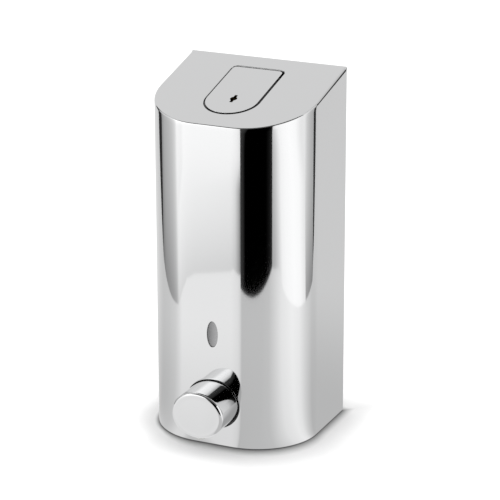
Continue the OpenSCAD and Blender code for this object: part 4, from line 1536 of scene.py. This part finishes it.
@dataclass
class Studio:
    """White floor and surroundings, with painted shadow and painted light on the floor, soft white panels,
    dark ones between them, and a dark hood above.
    """

    form: BodyForm
    floor_r: float = 4.0
    floor_drop: float = 0.35 * MM
    floor_segments: int = 96
    floor_grey: float = 0.74
    # Painted shadow and painted glow of the floor as the eye sees it, round the body.
    shade_x: float = 0.6
    shade_least: float = 0.28
    shade_edge: Flat = (-8 * MM, 12.5 * MM)
    glow_edge: Flat = (4 * MM, 41 * MM)
    glow_turn: float = 0.35
    glow: float = 0.28
    # Reach of the painted shade at the body's foot in reflections, then the painted contact shadow there.
    foot_shade_reach: float = 0.24
    contact_edge: Flat = (-0.6 * MM, 1.2 * MM)
    contact_light: float = 0.2
    side_pivot: float = 45 * MM
    front_pivot: float = 18 * MM
    front_depth: float = 20 * MM
    left_turn: Flat = (-100.0, -55.0)
    front_turn: Flat = (-45.0, -25.0)
    front_end: Flat = (30.0, 60.0)
    right_turn: Flat = (55.0, 100.0)
    hood_r: float = 0.75
    hood_high: Flat = (20.0, 80.0)
    hood_wide: Flat = (-60.0, 100.0)
    hood_rows: int = 12
    hood_columns: int = 24
    hood_light: float = 0.15

    FLOOR_SHARES: ClassVar[tuple[float, ...]] = (0.02, 0.05, 0.1, 0.3, 1.0)
    # Painted light of the floor as reflections show it: its level by the angle about the body.
    FLOOR_LIGHT: ClassVar[tuple[Flat, ...]] = (
        (-124.0, 0.93), (-96.0, 0.86), (-76.0, 0.92), (-62.0, 1.02), (-48.0, 1.31), (-24.0, 1.3),
        (-11.0, 1.2), (-7.0, 1.08), (-3.5, 0.83), (34.0, 0.84), (44.0, 0.88), (51.5, 1.03), (64.0, 1.28),
        (84.0, 1.42), (100.0, 1.35), (116.0, 1.09), (134.0, 0.9), (156.0, 0.91),
    )
    # Painted shade of the floor at the body's foot as reflections show it, by the angle about the body.
    FLOOR_FOOT_SHADE: ClassVar[tuple[Flat, ...]] = (
        (-124.0, 0.8), (-70.0, 0.82), (-40.0, 0.86), (-10.0, 0.88), (0.0, 0.93), (40.0, 0.95), (90.0, 0.95),
        (116.0, 0.9), (134.0, 0.8), (156.0, 0.79),
    )

    def build(self) -> None:
        """Builds floor, panels, hood and world."""
        self.build_floor()
        for panel in PANELS:
            panel.build()
        self.build_hood()
        self.light_world()
        log.info("studio: floor, hood and %d panels", len(PANELS))

    def build_floor(self) -> None:
        """Builds the floor."""
        skin = Skin()
        profile = [(self.floor_r * t, -self.floor_drop) for t in self.FLOOR_SHARES]
        skin.cap(skin.spin(profile, self.floor_segments, Matrix())[0])
        stage("floor", skin, self.floor_paint(), mirrored_only=False)

    def floor_paint(self) -> bpy.types.Material:
        """Makes the floor's paint: white with a painted shadow to the eye, and painted light and shade in
        reflections.

        Returns:
            The material.
        """
        graph = Graph.of_material("floor_paint")
        eye = graph.node("ShaderNodeLightPath", output="Is Camera Ray")
        mirror = graph.node("ShaderNodeLightPath", output="Is Glossy Ray")
        near, fall = self.away(graph)
        # Painted shadow for the eye: the floor's colour darkens near the body, on top of the real shade
        # from the world's light.
        shade = eye * fall.smooth(*self.shade_edge) + (1 - eye) * self.floor_grey
        # Painted glow for the eye, which whitens the floor away from the body and so leaves painted shadow
        # near it.
        spread = near + (fall - near) * self.glow_turn
        lift = spread.smooth(*self.glow_edge) * self.glow * eye
        seen = graph.node("ShaderNodeBsdfPrincipled", {
            "Base Color": shade, "Roughness": 1.0, "Specular IOR Level": 0.0,
            "Emission Color": lift, "Emission Strength": 1.0,
        })
        # In reflections the floor glows with painted light by angle, darkened by painted shade at the
        # body's foot and a painted contact shadow.
        turn = self.mirrored_azimuth(graph)
        far = near.smooth(0.0, self.foot_shade_reach)
        reflected_shade = far + (1 - far) * graph.through(turn, self.FLOOR_FOOT_SHADE)
        reflected_shade = reflected_shade * near.smooth(*self.contact_edge).between(self.contact_light, 1.0)
        light = graph.node("ShaderNodeEmission", {"Color": graph.through(turn, self.FLOOR_LIGHT) * reflected_shade})
        return graph.end(graph.node("ShaderNodeMixShader", {"Fac": mirror, 1: seen, 2: light}))

    def mirrored_azimuth(self, graph: Graph) -> Wire:
        """Measures the angle about the place in the body that a mirrored ray seems to come from.

        Args:
            graph: The floor's nodes.

        Returns:
            The angle in degrees.
        """
        turn = graph.azimuth()
        front = turn.smooth(*self.front_turn)
        aside = front * self.front_pivot
        aside = aside + turn.smooth(*self.right_turn) * (self.side_pivot - self.front_pivot)
        aside = aside - (1 - turn.smooth(*self.left_turn)) * self.side_pivot
        return graph.azimuth(aside, front * (1 - turn.smooth(*self.front_end)) * self.front_depth)

    def away(self, graph: Graph) -> tuple[Wire, Wire]:
        """Measures how far outside the body a place on the floor lies.

        Args:
            graph: The nodes that the distances are for.

        Returns:
            The distance from the body's outline, and the distance along the way that its painted shadow
            falls.
        """
        form = self.form
        x, y = graph.along("X"), graph.along("Y")
        wide = (x.math("ABSOLUTE", x) - form.flat).at_least(0.0)
        deep = ((form.front_y + form.corner_r) - y).at_least(0.0)
        span = wide.math("SQRT", wide * wide + deep * deep)
        near = (span - form.corner_r).at_least(y - form.back_y)
        ahead = wide * x.math("SIGN", x) * self.shade_x + deep * math.sqrt(1 - self.shade_x**2)
        facing = ahead.math("DIVIDE", ahead, span).at_least(self.shade_least)
        return near, near.math("DIVIDE", near, facing)

    def build_hood(self) -> None:
        """Builds the dark hood over the front, seen only in reflections."""
        skin = Skin()
        low, high = self.hood_high
        left, right = self.hood_wide
        turns = [math.radians(left + (right - left) * t) for t in steps(self.hood_columns)]
        rows = []
        for flat, z in arc((0.0, 0.0), self.hood_r, low, high, self.hood_rows):
            rows.append(skin.add((flat * math.sin(a), -flat * math.cos(a), z) for a in turns))
        skin.stack(rows, closed=False)
        graph = Graph.of_material("dark_hood")
        stage("dark_hood", skin, graph.end(graph.node("ShaderNodeEmission", {"Strength": self.hood_light})))

    def light_world(self) -> None:
        """Lights everything evenly from a white world."""
        world = bpy.data.worlds.new("white_studio")
        bpy.context.scene.world = world
        graph = Graph(world)
        sky = graph.node("ShaderNodeBackground", {"Color": (1.0, 1.0, 1.0, 1.0), "Strength": 1.0})
        graph.node("ShaderNodeOutputWorld", {"Surface": sky})


@dataclass
class PhotoCamera:
    """The camera at the photograph's place."""

    place: Triple = (0.60169, -1.29423, 0.60868)
    right: Triple = (0.91028, 0.41399, -0.00187)
    up: Triple = (-0.13175, 0.29398, 0.94669)
    lens: float = 168.96
    sensor: float = 36.0

    def build(self) -> None:
        """Builds the camera and makes it the scene's."""
        data = bpy.data.cameras.new("photo_camera")
        data.lens = self.lens
        data.sensor_width = self.sensor
        item = put_in_scene("photo_camera", data)
        right = Vector(self.right).normalized()
        back = right.cross(Vector(self.up)).normalized()
        turned = Matrix((right, back.cross(right), back)).transposed().to_4x4()
        item.matrix_world = Matrix.Translation(self.place) @ turned
        bpy.context.scene.camera = item


@dataclass(frozen=True)
class Layout:
    """Where the front's holes and the screws in the base are."""

    form: BodyForm
    window_z: float = 76 * MM
    window_half_w: float = 3.75 * MM
    window_half_h: float = 8.75 * MM
    window_points: int = 72
    button_gap: float = 0.6 * MM
    button_drop: float = 1.3 * MM
    button_points: int = 120
    front_screw_x: float = 9 * MM
    front_screw_in: float = 6.5 * MM
    rear_screw_x: float = 38 * MM
    rear_screw_in: float = 6 * MM
    lock_screw_in: float = 5 * MM

    def window(self) -> Hole:
        """Returns the hole of the sight window."""
        return Hole(0.0, self.window_z, self.window_half_w, self.window_half_h, self.window_points)

    def button_hole(self, z: float, half_w: float, half_h: float) -> Hole:
        """Returns the hole round a button of that height and size, deeper below it."""
        gap = self.button_gap
        return Hole(0.0, z, half_w + gap, half_h + gap, self.button_points, self.button_drop)

    def base_screws(self) -> list[Flat]:
        """Sets the places of the base sheet's screws.

        Returns:
            The places, from above.
        """
        front = (self.front_screw_x, self.form.front_y + self.front_screw_in)
        rear = (self.rear_screw_x, self.form.back_y - self.rear_screw_in)
        return [(side * x, y) for side in (-1, 1) for x, y in (front, rear)]

    def lock_screw(self) -> list[Flat]:
        """Returns the place of the screw that locks the body to the wall plate."""
        return [(0.0, self.form.back_y - self.lock_screw_in)]


def main() -> None:
    """Builds the pieces, dresses them and sets up the studio."""
    logging.basicConfig(level=logging.INFO, format="%(name)s: %(message)s")
    bpy.context.scene.view_settings.view_transform = "Standard"
    PhotoCamera().build()
    low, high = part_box("housing_shell")
    form = BodyForm(high.x, low.y, high.y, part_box("top_plate")[1].z)
    flap, layout = FlapForm(), Layout(form)
    button_low, button_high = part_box("button_cap")
    axis = PumpAxis(form.front_y, (button_low.z + button_high.z) / 2)
    half_w, half_h = button_high.x, (button_high.z - button_low.z) / 2
    spring_low, spring_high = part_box("return_spring")
    BodyWrap(form, (layout.window(), layout.button_hole(axis.z, half_w, half_h))).build()
    TopSheet(form, flap).build()
    FlapLid(form, flap).build()
    ButtonShell(axis, half_w, half_h, form.front_y - button_low.y).build()
    WindowLens(form.front_y, layout.window()).build()
    ReturnCoil(axis, spring_low.y - form.front_y, spring_high.y - form.front_y).build()
    PanScrews("base_pan_screws", "base_screws", layout.base_screws()).build()
    PanScrews("lock_pan_screw", "lock_screw", layout.lock_screw()).build()
    PlainPieces().dress()
    Studio(form).build()


if __name__ == "__main__":
    main()
